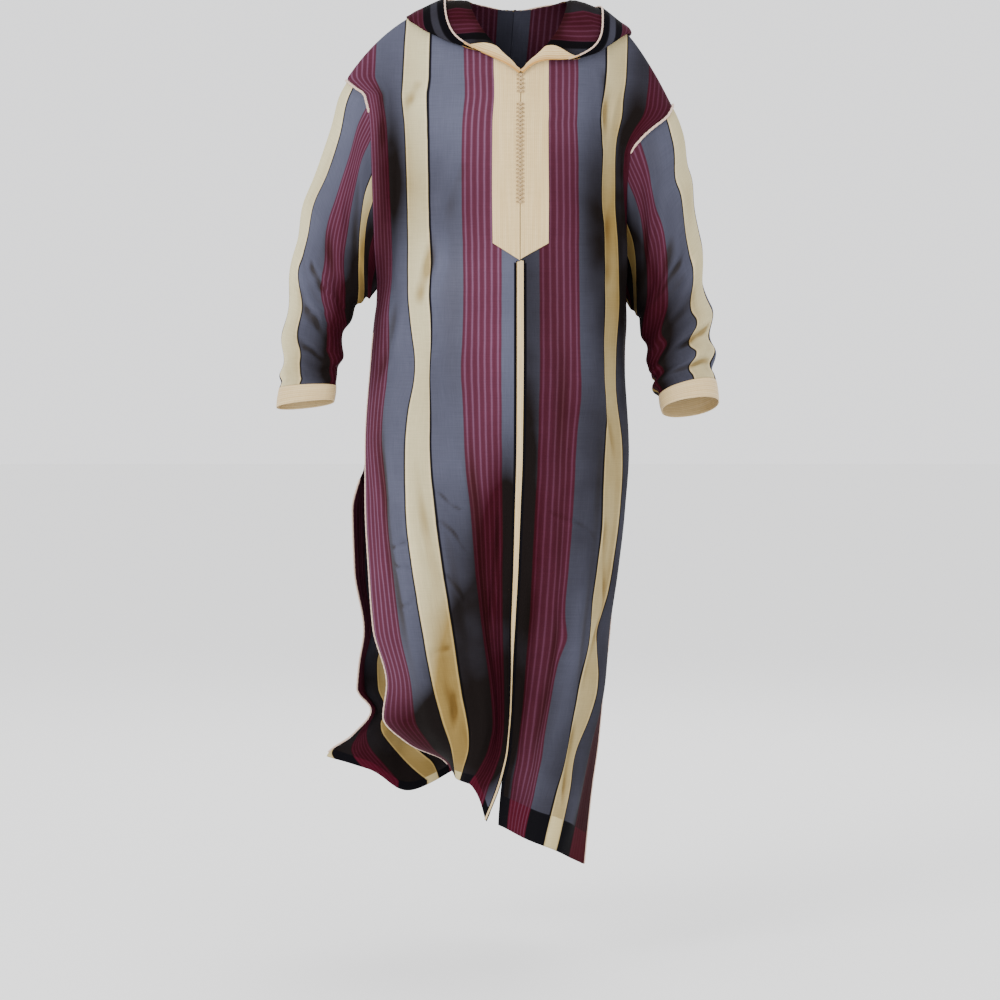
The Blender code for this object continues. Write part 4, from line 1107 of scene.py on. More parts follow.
def hood_grid(side, cloth):
    """Outer side of one lowered hood half: from the neck out to the fold, back to the rim."""
    u, neck, up = neck_line(side)
    rows = HOOD[side]
    places = column(rows, HOOD_COLUMNS, "u")
    value = {name: smooth(u, places, column(rows, HOOD_COLUMNS, name)) for name in HOOD_COLUMNS[1:]}
    fold = np.stack([value["fx"], value["fy"], value["fz"]], axis=-1)
    rim = np.stack([value["bx"], value["by"], value["bz"]], axis=-1)
    low = value["low"][:, None]
    high = value["high"][:, None]
    roll = value["roll"][:, None]
    start = np.clip(1 - u * 25, 0.0, 1.0)[:, None]
    first = neck + up * 0.8 + (fold - neck) * 0.15 * start
    share = np.array([0.3, 0.6, 0.88])[None, :, None]
    lower = first[:, None] + (fold - first)[:, None] * share
    lower = lift_clear(lower, low, cloth)
    turned = lift_clear(fold[:, None], low + roll, cloth)
    share = np.array([0.12, 0.45, 0.75])[None, :, None]
    upper = fold[:, None] + (rim - fold)[:, None] * share
    wanted = np.concatenate([low + 2 * roll, high, high], axis=1)
    upper = lift_clear(upper, wanted, cloth)
    last = lift_clear(rim[:, None], high, cloth)
    path = np.concatenate([first[:, None], lower, turned, upper, last], axis=1)
    curve = profile_curves(path, 10)
    total = np.linalg.norm(np.diff(curve, axis=1), axis=-1).sum(axis=1)[:, None]
    band = np.minimum(RIM_BAND, total * 0.45)
    main = np.linspace(0.0, 1.0, HOOD_STEPS)[None, :]
    rest = np.linspace(0.0, 1.0, RIM_STEPS)[None, 1:]
    marks = np.concatenate([main * (total - band), total - band + rest * band], axis=1)
    grid = soften(resample_rows(curve, marks), 6)
    clearance = np.clip(0.8 + marks * 0.12, 0.8, 3.2)
    clearance = clearance + 1.0 * ease((u[:, None] - 0.8) / 0.1)
    grid = lift_clear(grid, clearance, cloth, rounds=3)
    return grid, total - marks, u


def soften(grid, rounds):
    """Each inner station moved to the mean of itself and its neighbours, several times."""
    for _ in range(rounds):
        grid = grid.copy()
        grid[1:-1] = 0.5 * grid[1:-1] + 0.25 * (grid[:-2] + grid[2:])
    return grid


def add_node(tree, kind, inputs=None, **settings):
    """Add a node and set its fields; an input takes a value, a socket, or a node's first output."""
    made = tree.nodes.new("ShaderNode" + kind)
    for key, value in settings.items():
        setattr(made, key, value)
    for key, value in (inputs or {}).items():
        if isinstance(value, bpy.types.Node):
            value = value.outputs[0]
        if isinstance(value, bpy.types.NodeSocket):
            tree.links.new(value, made.inputs[key])
        else:
            made.inputs[key].default_value = value
    return made


def start_material(name):
    """A new node material: it, a maker of its nodes, the flat place and that place's parts."""
    material = bpy.data.materials.new(name)
    material.use_nodes = True
    node = partial(add_node, material.node_tree)
    place = node("UVMap", uv_map="weave")
    return material, node, place, node("SeparateXYZ", {0: place})


def finish_material(material, colour, relief, **values):
    """Join colour and relief to the shader and set its plain values."""
    shader = material.node_tree.nodes["Principled BSDF"]
    material.node_tree.links.new(colour, shader.inputs["Base Color"])
    material.node_tree.links.new(relief.outputs[0], shader.inputs["Normal"])
    for key, value in values.items():
        shader.inputs[key.replace("_", " ")].default_value = value
    return material


def solid(code):
    """A hex colour as an opaque value for a socket."""
    return (*linear(code), 1.0)


def fill_ramp(ramp, stops):
    """Set a colour ramp's stops: place from 0 to 1, colour, alpha."""
    ramp.interpolation = "LINEAR"
    while len(ramp.elements) > 1:
        ramp.elements.remove(ramp.elements[-1])
    for number, (place, colour, alpha) in enumerate(stops):
        stop = ramp.elements[0] if number == 0 else ramp.elements.new(place)
        stop.position = place
        stop.color = (*colour, alpha)


def stripe_stops(colours):
    """One repeat of the woven stripe, in millimetres from the cream stripe's middle."""
    cream, edge, black, grey, burgundy = [linear(code) for code in colours]
    places = (
        (0.0, cream, 0), (16.5, cream, 0), (18.0, edge, 0), (20.4, edge, 0), (21.0, black, 0),
        (22.6, black, 0), (23.6, grey, 0), (70.4, grey, 0), (71.4, burgundy, 1),
        (128.6, burgundy, 1), (129.6, grey, 0), (180.6, grey, 0), (181.6, black, 0),
        (185.0, black, 0), (185.6, edge, 0), (188.0, edge, 0), (189.5, cream, 0),
        (205.9, cream, 0),
    )
    return [(place / STRIPE_REPEAT, colour, alpha) for place, colour, alpha in places]


def hood_stops(colours):
    """Stripes of the hood, in millimetres from its rim, over a repeat of the same length; the black
    bands next to the rim, to 11 mm and from 25 to 37 mm, are painted shade.
    """
    cream, edge, black, grey, burgundy = [linear(code) for code in colours]
    places = (
        (0.0, black, 0), (11.0, black, 0), (13.0, grey, 0), (23.0, grey, 0), (25.0, black, 0),
        (37.0, black, 0), (38.4, burgundy, 1), (96.0, burgundy, 1), (97.0, grey, 0),
        (146.0, grey, 0), (147.0, black, 0), (151.0, black, 0), (152.0, edge, 0),
        (154.0, cream, 0), (188.0, cream, 0), (190.0, edge, 0), (191.0, black, 0),
        (205.9, black, 0),
    )
    return [(place / STRIPE_REPEAT, colour, alpha) for place, colour, alpha in places]


PIN_GAP = 9.6             # pinstripes this far apart, in millimetres
BURGUNDY_START = 71.0
PIN_PROFILE = ((0.0, 0.0), (0.30, 0.1), (0.42, 1.0), (0.56, 1.0), (0.70, 0.1), (1.0, 0.0))
# tint of the painted shade in crease troughs
TROUGH_SHADE_TINT = (0.52, 0.42, 0.28, 1.0)

# Woven colours: cream, its edge line, black, grey, burgundy
PALE_COLOURS = ("#C6BD97", "#D2C49E", "#100E15", "#525464", "#502535")
# the deep colours are used where the tone mark is low, mostly as painted shade
DEEP_AND_SHADED_COLOURS = ("#7E683A", "#98804C", "#030203", "#120D0C", "#2A050D")
DOUBLED_COLOURS = ("#B5A67A", "#A8966A", "#030206", "#07060A", "#3E0817")


def make_voile(name, stops):
    """Striped voile: thin plain-woven cotton and viscose with slubs.

    The stripe is woven in, so it follows the flat cloth, drawn in or out where that is strained. Its
    colour also carries painted shade in deep places and crease troughs, and painted highlights on
    crease ridges.
    """
    material, node, place, parts = start_material(name)
    # the stripes' edges wander by up to about half a millimetre
    slow = node("VectorMath", {0: place, 1: (6.0, 28.0, 0.0)}, operation="MULTIPLY")
    wander = node("TexNoise", {"Vector": slow, "Scale": 1.0, "Detail": 2.0})
    shift = node("Math", {0: wander, 1: 0.0012, 2: -0.0006}, operation="MULTIPLY_ADD")
    moved = node("Math", {0: parts, 1: shift}, operation="ADD")
    turns = node("Math", {0: moved, 1: 1000.0 / STRIPE_REPEAT}, operation="MULTIPLY")
    repeat = node("Math", {0: turns}, operation="FRACT")
    woven = []
    for colours in (DEEP_AND_SHADED_COLOURS, PALE_COLOURS, DOUBLED_COLOURS):
        woven.append(node("ValToRGB", {0: repeat}))
        fill_ramp(woven[-1].color_ramp, stops(colours))
    # the tone mark mixes deep and pale colours; where it is low this is mostly painted shade, partly
    # the dark that showed through the sheer cloth, and a noise adds random unevenness
    patch = node("TexNoise", {
        "Vector": node("TexCoord").outputs["Object"], "Scale": 9.0, "Detail": 3.0})
    cloud = node("Math", {0: patch, 1: 0.4, 2: -0.2}, operation="MULTIPLY_ADD")
    given = node("Attribute", attribute_name="tone").outputs["Fac"]
    tone = node("Math", {0: given, 1: cloud}, operation="ADD", use_clamp=True)
    single = node("Mix", {0: tone, 6: woven[0], 7: woven[1]}, data_type="RGBA").outputs[2]
    # turned hems and seams let no light through; beside the centre braid the dark seam turning is
    # partly a painted shadow of the braid
    cover = node("Attribute", attribute_name="cover").outputs["Fac"]
    doubled = node("MapRange", {0: cover, 1: -0.5, 2: 0.5, 3: 1.0, 4: 0.0})
    both = node("Mix", {0: doubled, 6: single, 7: woven[2]}, data_type="RGBA").outputs[2]
    # pinstripes inside the burgundy
    pin = node("Math", {0: repeat, 1: STRIPE_REPEAT / PIN_GAP, 2: -BURGUNDY_START / PIN_GAP},
               operation="MULTIPLY_ADD")
    pin_ramp = node("ValToRGB", {0: node("Math", {0: pin}, operation="FRACT")})
    fill_ramp(pin_ramp.color_ramp, [(at, (grey, grey, grey), 1) for at, grey in PIN_PROFILE])
    pin_reach = node("MapRange", {0: tone, 3: 0.2, 4: 0.5})
    pin_mask = node("Math", {0: pin_ramp, 1: woven[0].outputs[1]}, operation="MULTIPLY")
    pin_share = node("Math", {0: pin_mask, 1: pin_reach}, operation="MULTIPLY")
    pin_colour = node("Mix", {0: tone, 6: solid("#5A263C"), 7: solid("#80607A")}, data_type="RGBA")
    pinned = node("Mix", {0: pin_share, 6: both, 7: pin_colour.outputs[2]}, data_type="RGBA")
    # slubs: thick stretches of thread, about 1 mm wide and 40 mm long, warp and weft
    threads = []
    for pace in ((900.0, 24.0, 1.0), (20.0, 700.0, 1.0)):
        run = node("VectorMath", {0: place, 1: pace}, operation="MULTIPLY")
        threads.append(node("TexNoise", {
            "Vector": run, "Scale": 1.0, "Detail": 3.0, "Roughness": 0.6}))
    slub = node("Math", {0: threads[0], 1: threads[1]}, operation="ADD")
    slub_gain = node("MapRange", {0: slub, 1: 0.6, 2: 1.4, 3: 0.86, 4: 1.16})
    # painted shade, tinted golden brown, in crease troughs, and painted highlights on crease ridges
    fold = node("Attribute", attribute_name="fold").outputs["Fac"]
    trough = node("MapRange", {0: fold, 1: -3.2, 2: -0.3, 3: 0.85, 4: 0.0})
    ridge = node("MapRange", {0: fold, 1: 0.2, 2: 3.0, 3: 1.0, 4: 1.16})
    trough_shade = node("Mix", {0: trough, 6: pinned.outputs[2], 7: TROUGH_SHADE_TINT},
                data_type="RGBA", blend_type="MULTIPLY")
    whole = node("Math", {0: slub_gain, 1: ridge}, operation="MULTIPLY")
    final = node("VectorMath", {0: trough_shade.outputs[2], "Scale": whole}, operation="SCALE")
    bump = node("Bump", {"Height": slub, "Strength": 0.35, "Distance": 0.0006})
    return finish_material(
        material, final.outputs[0], bump, Roughness=0.85, Specular_IOR_Level=0.06)


def make_band(name, colour, line, spacing, edge=0.0):
    """Flat woven braid of viscose: close lengthwise cords with a satin shine.

    With an edge in metres, the line colour deepens towards the braid's first side, as painted shade.
    """
    material, node, place, parts = start_material(name)
    turns = node("Math", {0: parts, 1: 2 * math.pi * 1000.0 / spacing}, operation="MULTIPLY")
    wave = node("Math", {0: turns}, operation="SINE")
    grains = []
    for pace in ((260.0, 9.0, 1.0), (30.0, 650.0, 1.0)):
        run = node("VectorMath", {0: place, 1: pace}, operation="MULTIPLY")
        grains.append(node("TexNoise", {"Vector": run, "Scale": 1.0, "Detail": 3.0}))
    share = node("Math", {0: wave, 1: 0.16, 2: -0.12}, operation="MULTIPLY_ADD")
    share = node("Math", {0: share, 1: grains[0]}, operation="ADD", use_clamp=True)
    if edge:
        # painted shade: the line colour spreads in from the first side over the edge's width
        near = node("MapRange", {0: parts, 1: 0.0, 2: edge, 3: 0.75, 4: 0.0})
        share = node("Math", {0: share, 1: near}, operation="ADD", use_clamp=True)
    tone = node("Mix", {0: share, 6: solid(colour), 7: solid(line)}, data_type="RGBA")
    gain = node("MapRange", {0: grains[1], 1: 0.3, 2: 0.7, 3: 0.94, 4: 1.05})
    final = node("VectorMath", {0: tone.outputs[2], "Scale": gain}, operation="SCALE")
    relief = node("Math", {0: wave, 1: 0.5, 2: grains[1]}, operation="MULTIPLY_ADD")
    bump = node("Bump", {"Height": relief, "Strength": 0.25, "Distance": 0.0004})
    return finish_material(
        material, final.outputs[0], bump, Roughness=0.55, Specular_IOR_Level=0.35, Sheen_Weight=0.1)


def make_yarn(name, colour, dark, pitch):
    """Twisted viscose yarn: slanting strands, paler on their crests, with painted shade in the grooves
    between them.
    """
    material, node, _, parts = start_material(name)
    slant = node("Math", {0: parts, 1: parts.outputs[1]}, operation="ADD")
    turns = node("Math", {0: slant, 1: 2 * math.pi * 1000.0 / pitch}, operation="MULTIPLY")
    wave = node("Math", {0: turns}, operation="SINE")
    share = node("MapRange", {0: wave, 1: -1.0, 2: 1.0, 3: 0.0, 4: 0.7})
    tone = node("Mix", {0: share, 6: solid(colour), 7: solid(dark)}, data_type="RGBA")
    bump = node("Bump", {"Height": wave, "Strength": 0.4, "Distance": 0.0003})
    return finish_material(material, tone.outputs[2], bump, Roughness=0.5, Sheen_Weight=0.2)


def finish_piece(piece, slot, *nodes):
    """Ride on the robe's body and stand for CAD nodes; the slot is not used."""
    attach(piece, "root")
    if nodes:
        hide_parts(*nodes)
    return piece


class RobeCloth(PropertyGroup):
    """Sizes of the striped cloth."""

    wall: FloatProperty(
        name="Cloth wall", description="Thickness of the shown cloth",
        default=0.0008, min=0.0004, max=0.002, unit="LENGTH")
    crease: FloatProperty(
        name="Crease strength", description="Depth of the fine creases, 1 as pressed and worn",
        default=1.0, min=0.0, max=2.0, subtype="FACTOR")


class RobeTrim(PropertyGroup):
    """Sizes and colours of braid, cord and buttons."""

    braid_wall: FloatProperty(
        name="Braid thickness", description="Thickness of the flat braid",
        default=0.0010, min=0.0005, max=0.002, unit="LENGTH")
    cord_radius: FloatProperty(
        name="Cord radius", description="Radius of the twisted edge cord",
        default=0.0016, min=0.0008, max=0.003, unit="LENGTH")
    cord_pitch: FloatProperty(
        name="Cord pitch", description="Length of one full turn of the cord's strands",
        default=0.009, min=0.004, max=0.02, unit="LENGTH")
    button_radius: FloatProperty(
        name="Button radius", description="Radius of a knotted thread button",
        default=0.0027, min=0.002, max=0.005, unit="LENGTH")


class RobeStage(PropertyGroup):
    """Floor and light."""

    floor: FloatProperty(
        name="Floor height", description="Height of the floor below the shoulders",
        default=-1.47, unit="LENGTH")
    key: FloatProperty(
        name="Key light", description="Power of the large front light",
        default=170.0, min=0.0, unit="POWER")
    paper: FloatVectorProperty(
        name="Floor colour", description="Colour of the pale floor",
        default=linear("#F8F8F7"), size=3, subtype="COLOR")


class ROBE_OT_panels(Operator):
    """Make the four striped body panels."""

    bl_idname = "robe.panels"
    bl_label = "Body panels"

    def execute(self, context):
        """Work out each panel, join the seams, and wall them."""
        cloth = context.scene.robe_cloth
        BUILT["voile"] = make_voile("striped_voile", stripe_stops)
        for side in ("right", "left"):
            for face in ("front", "back"):
                BUILT[face + "_" + side] = panel_grid(side, face, cloth.crease)
        self.join_seams()
        wall = cloth.wall / MM
        for side in ("right", "left"):
            for face in ("front", "back"):
                self.make_panel(side, face, wall)
        return {"FINISHED"}

    def join_seams(self):
        """Give seams that meet the same points; each difference fades over SEAM_FADE of cloth."""
        s = np.linspace(0.0, HALF_WIDTH, PANEL_COLS)
        near_side = ease((s - HALF_WIDTH + SEAM_FADE) / SEAM_FADE)[None, :, None]
        near_centre = ease((SEAM_FADE - s) / SEAM_FADE)[None, :, None]
        for side in ("right", "left"):
            front = BUILT["front_" + side]
            back = BUILT["back_" + side]
            gap = front["grid"][0] - back["grid"][0]
            fade = ease((SHOULDER_FADE - (back["z"][:1] - back["z"])) / SHOULDER_FADE)[..., None]
            keep = (s > NECK_SIDE - 1.0)[None, :, None]
            back["grid"] += gap[None] * fade * keep
            gap = front["grid"][:, -1] - back["grid"][:, -1]
            rows = np.arange(len(gap))
            last = ARM_ROWS + SEAM_ROWS
            joined = (rows >= ARM_ROWS) & (rows <= last)
            reach = np.where(joined, 1.0, 0.0)
            reach = np.where(rows < ARM_ROWS, ease((rows - ARM_ROWS + 10) / 10.0), reach)
            reach = np.where(rows > last, ease((last + 12 - rows) / 12.0), reach)
            back["grid"] += (gap * reach[:, None])[:, None] * near_side
        for face in ("front", "back"):
            right = BUILT[face + "_right"]
            left = BUILT[face + "_left"]
            gap = right["grid"][:, 0] - left["grid"][:, 0]
            reach = np.ones(len(gap))
            if face == "front":
                reach = ease((right["z"][:, 0] - VENT_TOP) / 30.0)
            left["grid"] += (gap * reach[:, None])[:, None] * near_centre

    def make_panel(self, side, face, wall):
        """Wall one panel, with its stripe place and its marks."""
        item = BUILT[face + "_" + side]
        grid = item["grid"]
        item["normals"] = turned_to(surface_normals(grid), item["way"])
        turn = HEM_TURNS[(side, face)]
        cover = item["hem"] - turn
        if face == "front":
            # above the placket's point the seam is hidden, so only the turning below it shows; beside
            # the braid this dark strip is partly a painted shadow of the braid
            seam = item["s"] - SEAM_TURN + 60.0 * ease((item["z"] - PLACKET_TIP) / 4.0)
            cover = np.minimum(cover, seam)
        name = face + "_" + side
        piece = add_flat_wall(
            "cloth_" + name, grid, item["normals"], wall * (1 + ease((turn - item["hem"]) / 1.5)),
            BUILT["voile"], self.stripe_place(side, face, item), -item["z"],
            {"fold": item["fold"] + bells(SHADES[(side, face)], item["s"], item["z"]),
             "cover": cover, "tone": tone_and_shade_of((side, face), item["s"], item["z"])},
        )
        finish_piece(piece, "striped_cloth", name)

    def stripe_place(self, side, face, item):
        """Flat place in the stripe repeat: true to the cut, but pulled where the cloth is strained."""
        place = item["s"] - CREAM_CENTRE
        for height, half, pinch in PINCHES[(side, face)]:
            near = np.exp(-((item["z"] - height) / half) ** 2 - (place / PINCH_WIDTH) ** 2)
            place = place * (1 + pinch * near)
        if (side, face) == ("right", "back"):
            start, length, shift = BACK_PULL
            pull = np.clip((start - item["z"]) / length, 0.0, 1.3)
            place = place + shift * pull * ease(item["s"] / 60.0)
        return place


class ROBE_OT_sleeves(Operator):
    """Make both striped sleeves."""

    bl_idname = "robe.sleeves"
    bl_label = "Sleeves"

    def execute(self, context):
        """Rings from each armhole to the cuff, as a closed wall."""
        cloth = context.scene.robe_cloth
        for side in ("right", "left"):
            item = sleeve_grid(side, BUILT["front_" + side], BUILT["back_" + side], cloth.crease)
            grid = item["grid"]
            middle = grid.mean(axis=1, keepdims=True)
            normals = turned_to(surface_normals(grid, around=True), grid - middle)
            item["normals"] = normals
            BUILT["sleeve_" + side] = item
            marks = {
                "fold": item["fold"], "tone": item["tone"], "cover": np.full(grid.shape[:2], 99.0)}
            piece = add_wall(
                "cloth_sleeve_" + side, grid, normals, np.full(grid.shape[:2], cloth.wall / MM),
                BUILT["voile"], item["left"], item["right"], item["along"], marks, around=True)
            finish_piece(piece, "striped_cloth", "sleeve_" + side)
        return {"FINISHED"}


class ROBE_OT_cuffs(Operator):
    """Make the braid bands at the wrists."""

    bl_idname = "robe.cuffs"
    bl_label = "Cuffs"

    def execute(self, context):
        """Rings from the sleeve's end to the wrist, slightly crowned."""
        trim = context.scene.robe_trim
        BUILT["band"] = make_band("viscose_braid", "#D6BF92", "#B08C4E", 3.2)
        for side in ("right", "left"):
            sleeve = BUILT["sleeve_" + side]
            start = sleeve["grid"][-1] + (sleeve["grid"][-1] - sleeve["grid"][-2]) * 0.02
            last = ring_points([np.array([v]) for v in CUFF_END[side]], sleeve["angles"])[0]
            share = np.linspace(0.0, 1.0, 19)[:, None, None]
            grid = start[None] * (1 - share) + last[None] * share
            middle = grid.mean(axis=1, keepdims=True)
            crown = 0.9 * np.sin(np.pi * share)
            wave = 0.5 * np.sin(3 * sleeve["angles"])[None, :, None] * share
            grid = grid + unit(grid - middle) * (crown + wave + 0.5)
            normals = turned_to(surface_normals(grid, around=True), grid - middle)
            step = np.linalg.norm(np.diff(grid, axis=1, append=grid[:, :1]), axis=-1)
            run = np.cumsum(step, axis=1)
            depth = np.linalg.norm(np.diff(grid, axis=0), axis=-1).sum(axis=0).mean()
            across = np.broadcast_to(share[..., 0] * depth, grid.shape[:2])
            zero = np.zeros((len(grid), 1))
            # the braid's length runs round the wrist, so its lines do too
            uv_left = np.concatenate([zero, run[:, :-1]], axis=1)
            piece = add_wall(
                "braid_cuff_" + side, grid, normals, np.full(grid.shape[:2], trim.braid_wall / MM),
                BUILT["band"], uv_left, run, across, {}, around=True)
            swap_uv(piece)
            finish_piece(piece, "cream_band", "cuff_" + side)
        return {"FINISHED"}


def swap_uv(piece):
    """Exchange a piece's two flat directions, so braid lines run the other way."""
    layer = piece.data.uv_layers["weave"]
    values = np.empty(len(layer.data) * 2, dtype=np.float32)
    layer.data.foreach_get("uv", values)
    values = values.reshape(-1, 2)[:, ::-1]
    layer.data.foreach_set("uv", np.ascontiguousarray(values).ravel())


def patch_on(side, s, z, lift):
    """Points over a front panel at given flat places: its grid read between its points."""
    item = BUILT["front_" + side]
    at = s / HALF_WIDTH * (PANEL_COLS - 1)
    j = np.clip(at.astype(int), 0, PANEL_COLS - 2)
    t = at - j
    heights = item["z"]
    found = []
    for part in (j, j + 1):
        column_z = heights[:, part]
        k = (column_z > z[None]).sum(axis=0) - 1
        k = np.clip(k, 0, len(heights) - 2)
        top = np.take_along_axis(column_z, k[None], axis=0)[0]
        low = np.take_along_axis(column_z, k[None] + 1, axis=0)[0]
        w = np.clip((top - z) / (top - low), -0.5, 1.5)[..., None]
        spot = item["grid"][k, part] * (1 - w) + item["grid"][k + 1, part] * w
        way = item["normals"][k, part] * (1 - w) + item["normals"][k + 1, part] * w
        found.append((spot, way))
    t = t[..., None]
    spot = found[0][0] * (1 - t) + found[1][0] * t
    way = unit(found[0][1] * (1 - t) + found[1][1] * t)
    return spot + way * lift, way


class ROBE_OT_placket(Operator):
    """Make the two halves of the front placket and the braid below them."""

    bl_idname = "robe.placket"
    bl_label = "Placket and braid"

    def execute(self, context):
        """Bands on the front panels, from the neck edge to the point."""
        trim = context.scene.robe_trim
        wall = trim.braid_wall / MM
        BUILT["placket_cloth"] = make_band("placket_braid", "#DCC28E", "#BC9A62", 2.8)
        for side in ("right", "left"):
            s = np.linspace(0.35, PLACKET_HALF, 33)[None, :]
            share = np.linspace(0.0, 1.0, 161)[:, None]
            top = top_edge(side, "front", s) - 1.0
            foot = PLACKET_TIP + (PLACKET_END - PLACKET_TIP) * s / PLACKET_HALF
            z = top + (foot - top) * share
            flat = np.broadcast_to(s, z.shape)
            crown = LAID_GAP + wall + 0.5 * np.exp(-((flat - PLACKET_HALF + 1.6) / 1.2) ** 2)
            crown = crown + 0.35 * np.exp(-((flat - 1.8) / 1.4) ** 2)
            grid, _ = patch_on(side, flat, z, crown[..., None])
            normals = turned_to(surface_normals(grid), np.array([0.0, -1.0, 0.0]))
            piece = add_flat_wall(
                "braid_placket_" + side, grid, normals, np.full(z.shape, wall),
                BUILT["placket_cloth"], flat, -z, {})
            BUILT["placket_" + side] = {"grid": grid, "normals": normals}
            finish_piece(piece, "placket_cloth", "placket_" + side)
        across = np.linspace(-0.5, 0.5, 13)[None, :]
        z = np.linspace(PLACKET_TIP - 1.0, HEM[("right", "front")][0] + 2.0, 301)[:, None]
        z = z - 3.0 * np.abs(across) * np.exp(-(z - PLACKET_TIP) ** 2 / 40.0)
        wide = BRAID_WIDTH * smooth(z, *zip(*BRAID_WIDTHS))
        flat = across * wide
        # above the vent the braid moves over onto the edge of the right-hand front
        own = flat + (wide / 2 + 0.4) * ease((VENT_TOP + 110.0 - z) / 60.0)
        crown = LAID_GAP + wall + 0.5 * np.cos(np.pi * across)
        on_right, _ = patch_on("right", np.maximum(own, 0.0), z, crown[..., None])
        on_left, _ = patch_on("left", np.maximum(-own, 0.0), z, crown[..., None])
        grid = np.where((own >= 0)[..., None], on_right, on_left)
        normals = turned_to(surface_normals(grid), np.array([0.0, -1.0, 0.0]))
        piece = add_flat_wall(
            "braid_centre", grid, normals, np.full(z.shape, wall), BUILT["band"], flat, -z, {})
        finish_piece(piece, "cream_band", "centre_braid")
        return {"FINISHED"}


class ROBE_OT_buttons(Operator):
    """Make the knotted thread buttons and their loops."""

    bl_idname = "robe.buttons"
    bl_label = "Thread buttons"

    def execute(self, context):
        """One ball of wound thread and two side loops, repeated down the placket."""
        trim = context.scene.robe_trim
        radius = trim.button_radius / MM
        BUILT["yarn"] = make_yarn("wound_thread", "#C8AB7A", "#866642", 0.9)
        heights = np.concatenate([
            first - BUTTON_STEP * np.arange(int((first - last) / BUTTON_STEP) + 1)
            for first, last in BUTTON_GROUPS
        ])
        zero = np.zeros((1, len(heights)))
        spot, way = patch_on("right", zero, heights[None], 0.0)
        lift = LAID_GAP + trim.braid_wall / MM + 0.2
        centre = spot[0] + way[0] * (lift + radius * 0.92)
        polar = np.linspace(BALL_POLE, math.pi - BALL_POLE, 15)[:, None]
        turn = np.linspace(0.0, 2 * math.pi, 20, endpoint=False)[None, :]
        # ball whose radius ripples with crossing windings of thread
        wind = 0.05 * np.abs(np.sin(4 * turn + 3 * polar)) + 0.05 * np.abs(np.sin(4 * turn - 3 * polar))
        size = radius * (0.93 + wind)
        ball = np.stack([
            size * np.sin(polar) * np.cos(turn),
            size * np.sin(polar) * np.sin(turn),
            size * np.cos(polar) * np.ones_like(turn),
        ], axis=-1)
        points = np.concatenate([ball.reshape(-1, 3), ball[[0, -1]].mean(axis=1)])
        # the ball's rings run from the top down, so its faces turn the other way from a cord's
        quads = tube_quads(*ball.shape[:2])[:, [0, 3, 2, 1]]
        piece = add_copies("buttons", points, quads, centre, BUILT["yarn"])
        finish_piece(piece, "button_thread", *["button_%02d" % (k + 1) for k in range(len(heights))])
        points, quads = self.loops()
        base = spot[0] + way[0] * (lift + 0.5)
        finish_piece(add_copies("button_loops", points, quads, base, BUILT["yarn"]), "button_thread")
        return {"FINISHED"}

    def loops(self):
        """A flat oval ring of cord on each side of a button: an ellipse with a round wall."""
        angle = np.linspace(0.0, 2 * math.pi, 28, endpoint=False)
        ring = np.linspace(0.0, 2 * math.pi, 8, endpoint=False)[None, :, None]
        deep = np.array([0.0, -1.0, 0.0])
        flat = np.zeros_like(angle)
        points = []
        quads = []
        for number, sign in enumerate((-1.0, 1.0)):
            reach = np.stack([
                sign * (LOOP_REACH + LOOP_WIDE * np.cos(angle)), flat, LOOP_HIGH * np.sin(angle)],
                axis=-1)
            out = unit(np.stack([
                sign * np.cos(angle) * LOOP_HIGH, flat, np.sin(angle) * LOOP_WIDE], axis=-1))
            tube = reach[:, None] + LOOP_CORD * (np.cos(ring) * out[:, None] + np.sin(ring) * deep)
            rows, cols = tube.shape[:2]
            one = grid_quads(rows, cols, rows, cols)
            tube = tube.reshape(-1, 3)
            if signed_volume(tube, one) < 0:
                one = one[:, ::-1]
            points.append(tube)
            quads.append(one + number * len(tube))
        return np.concatenate(points), np.concatenate(quads)


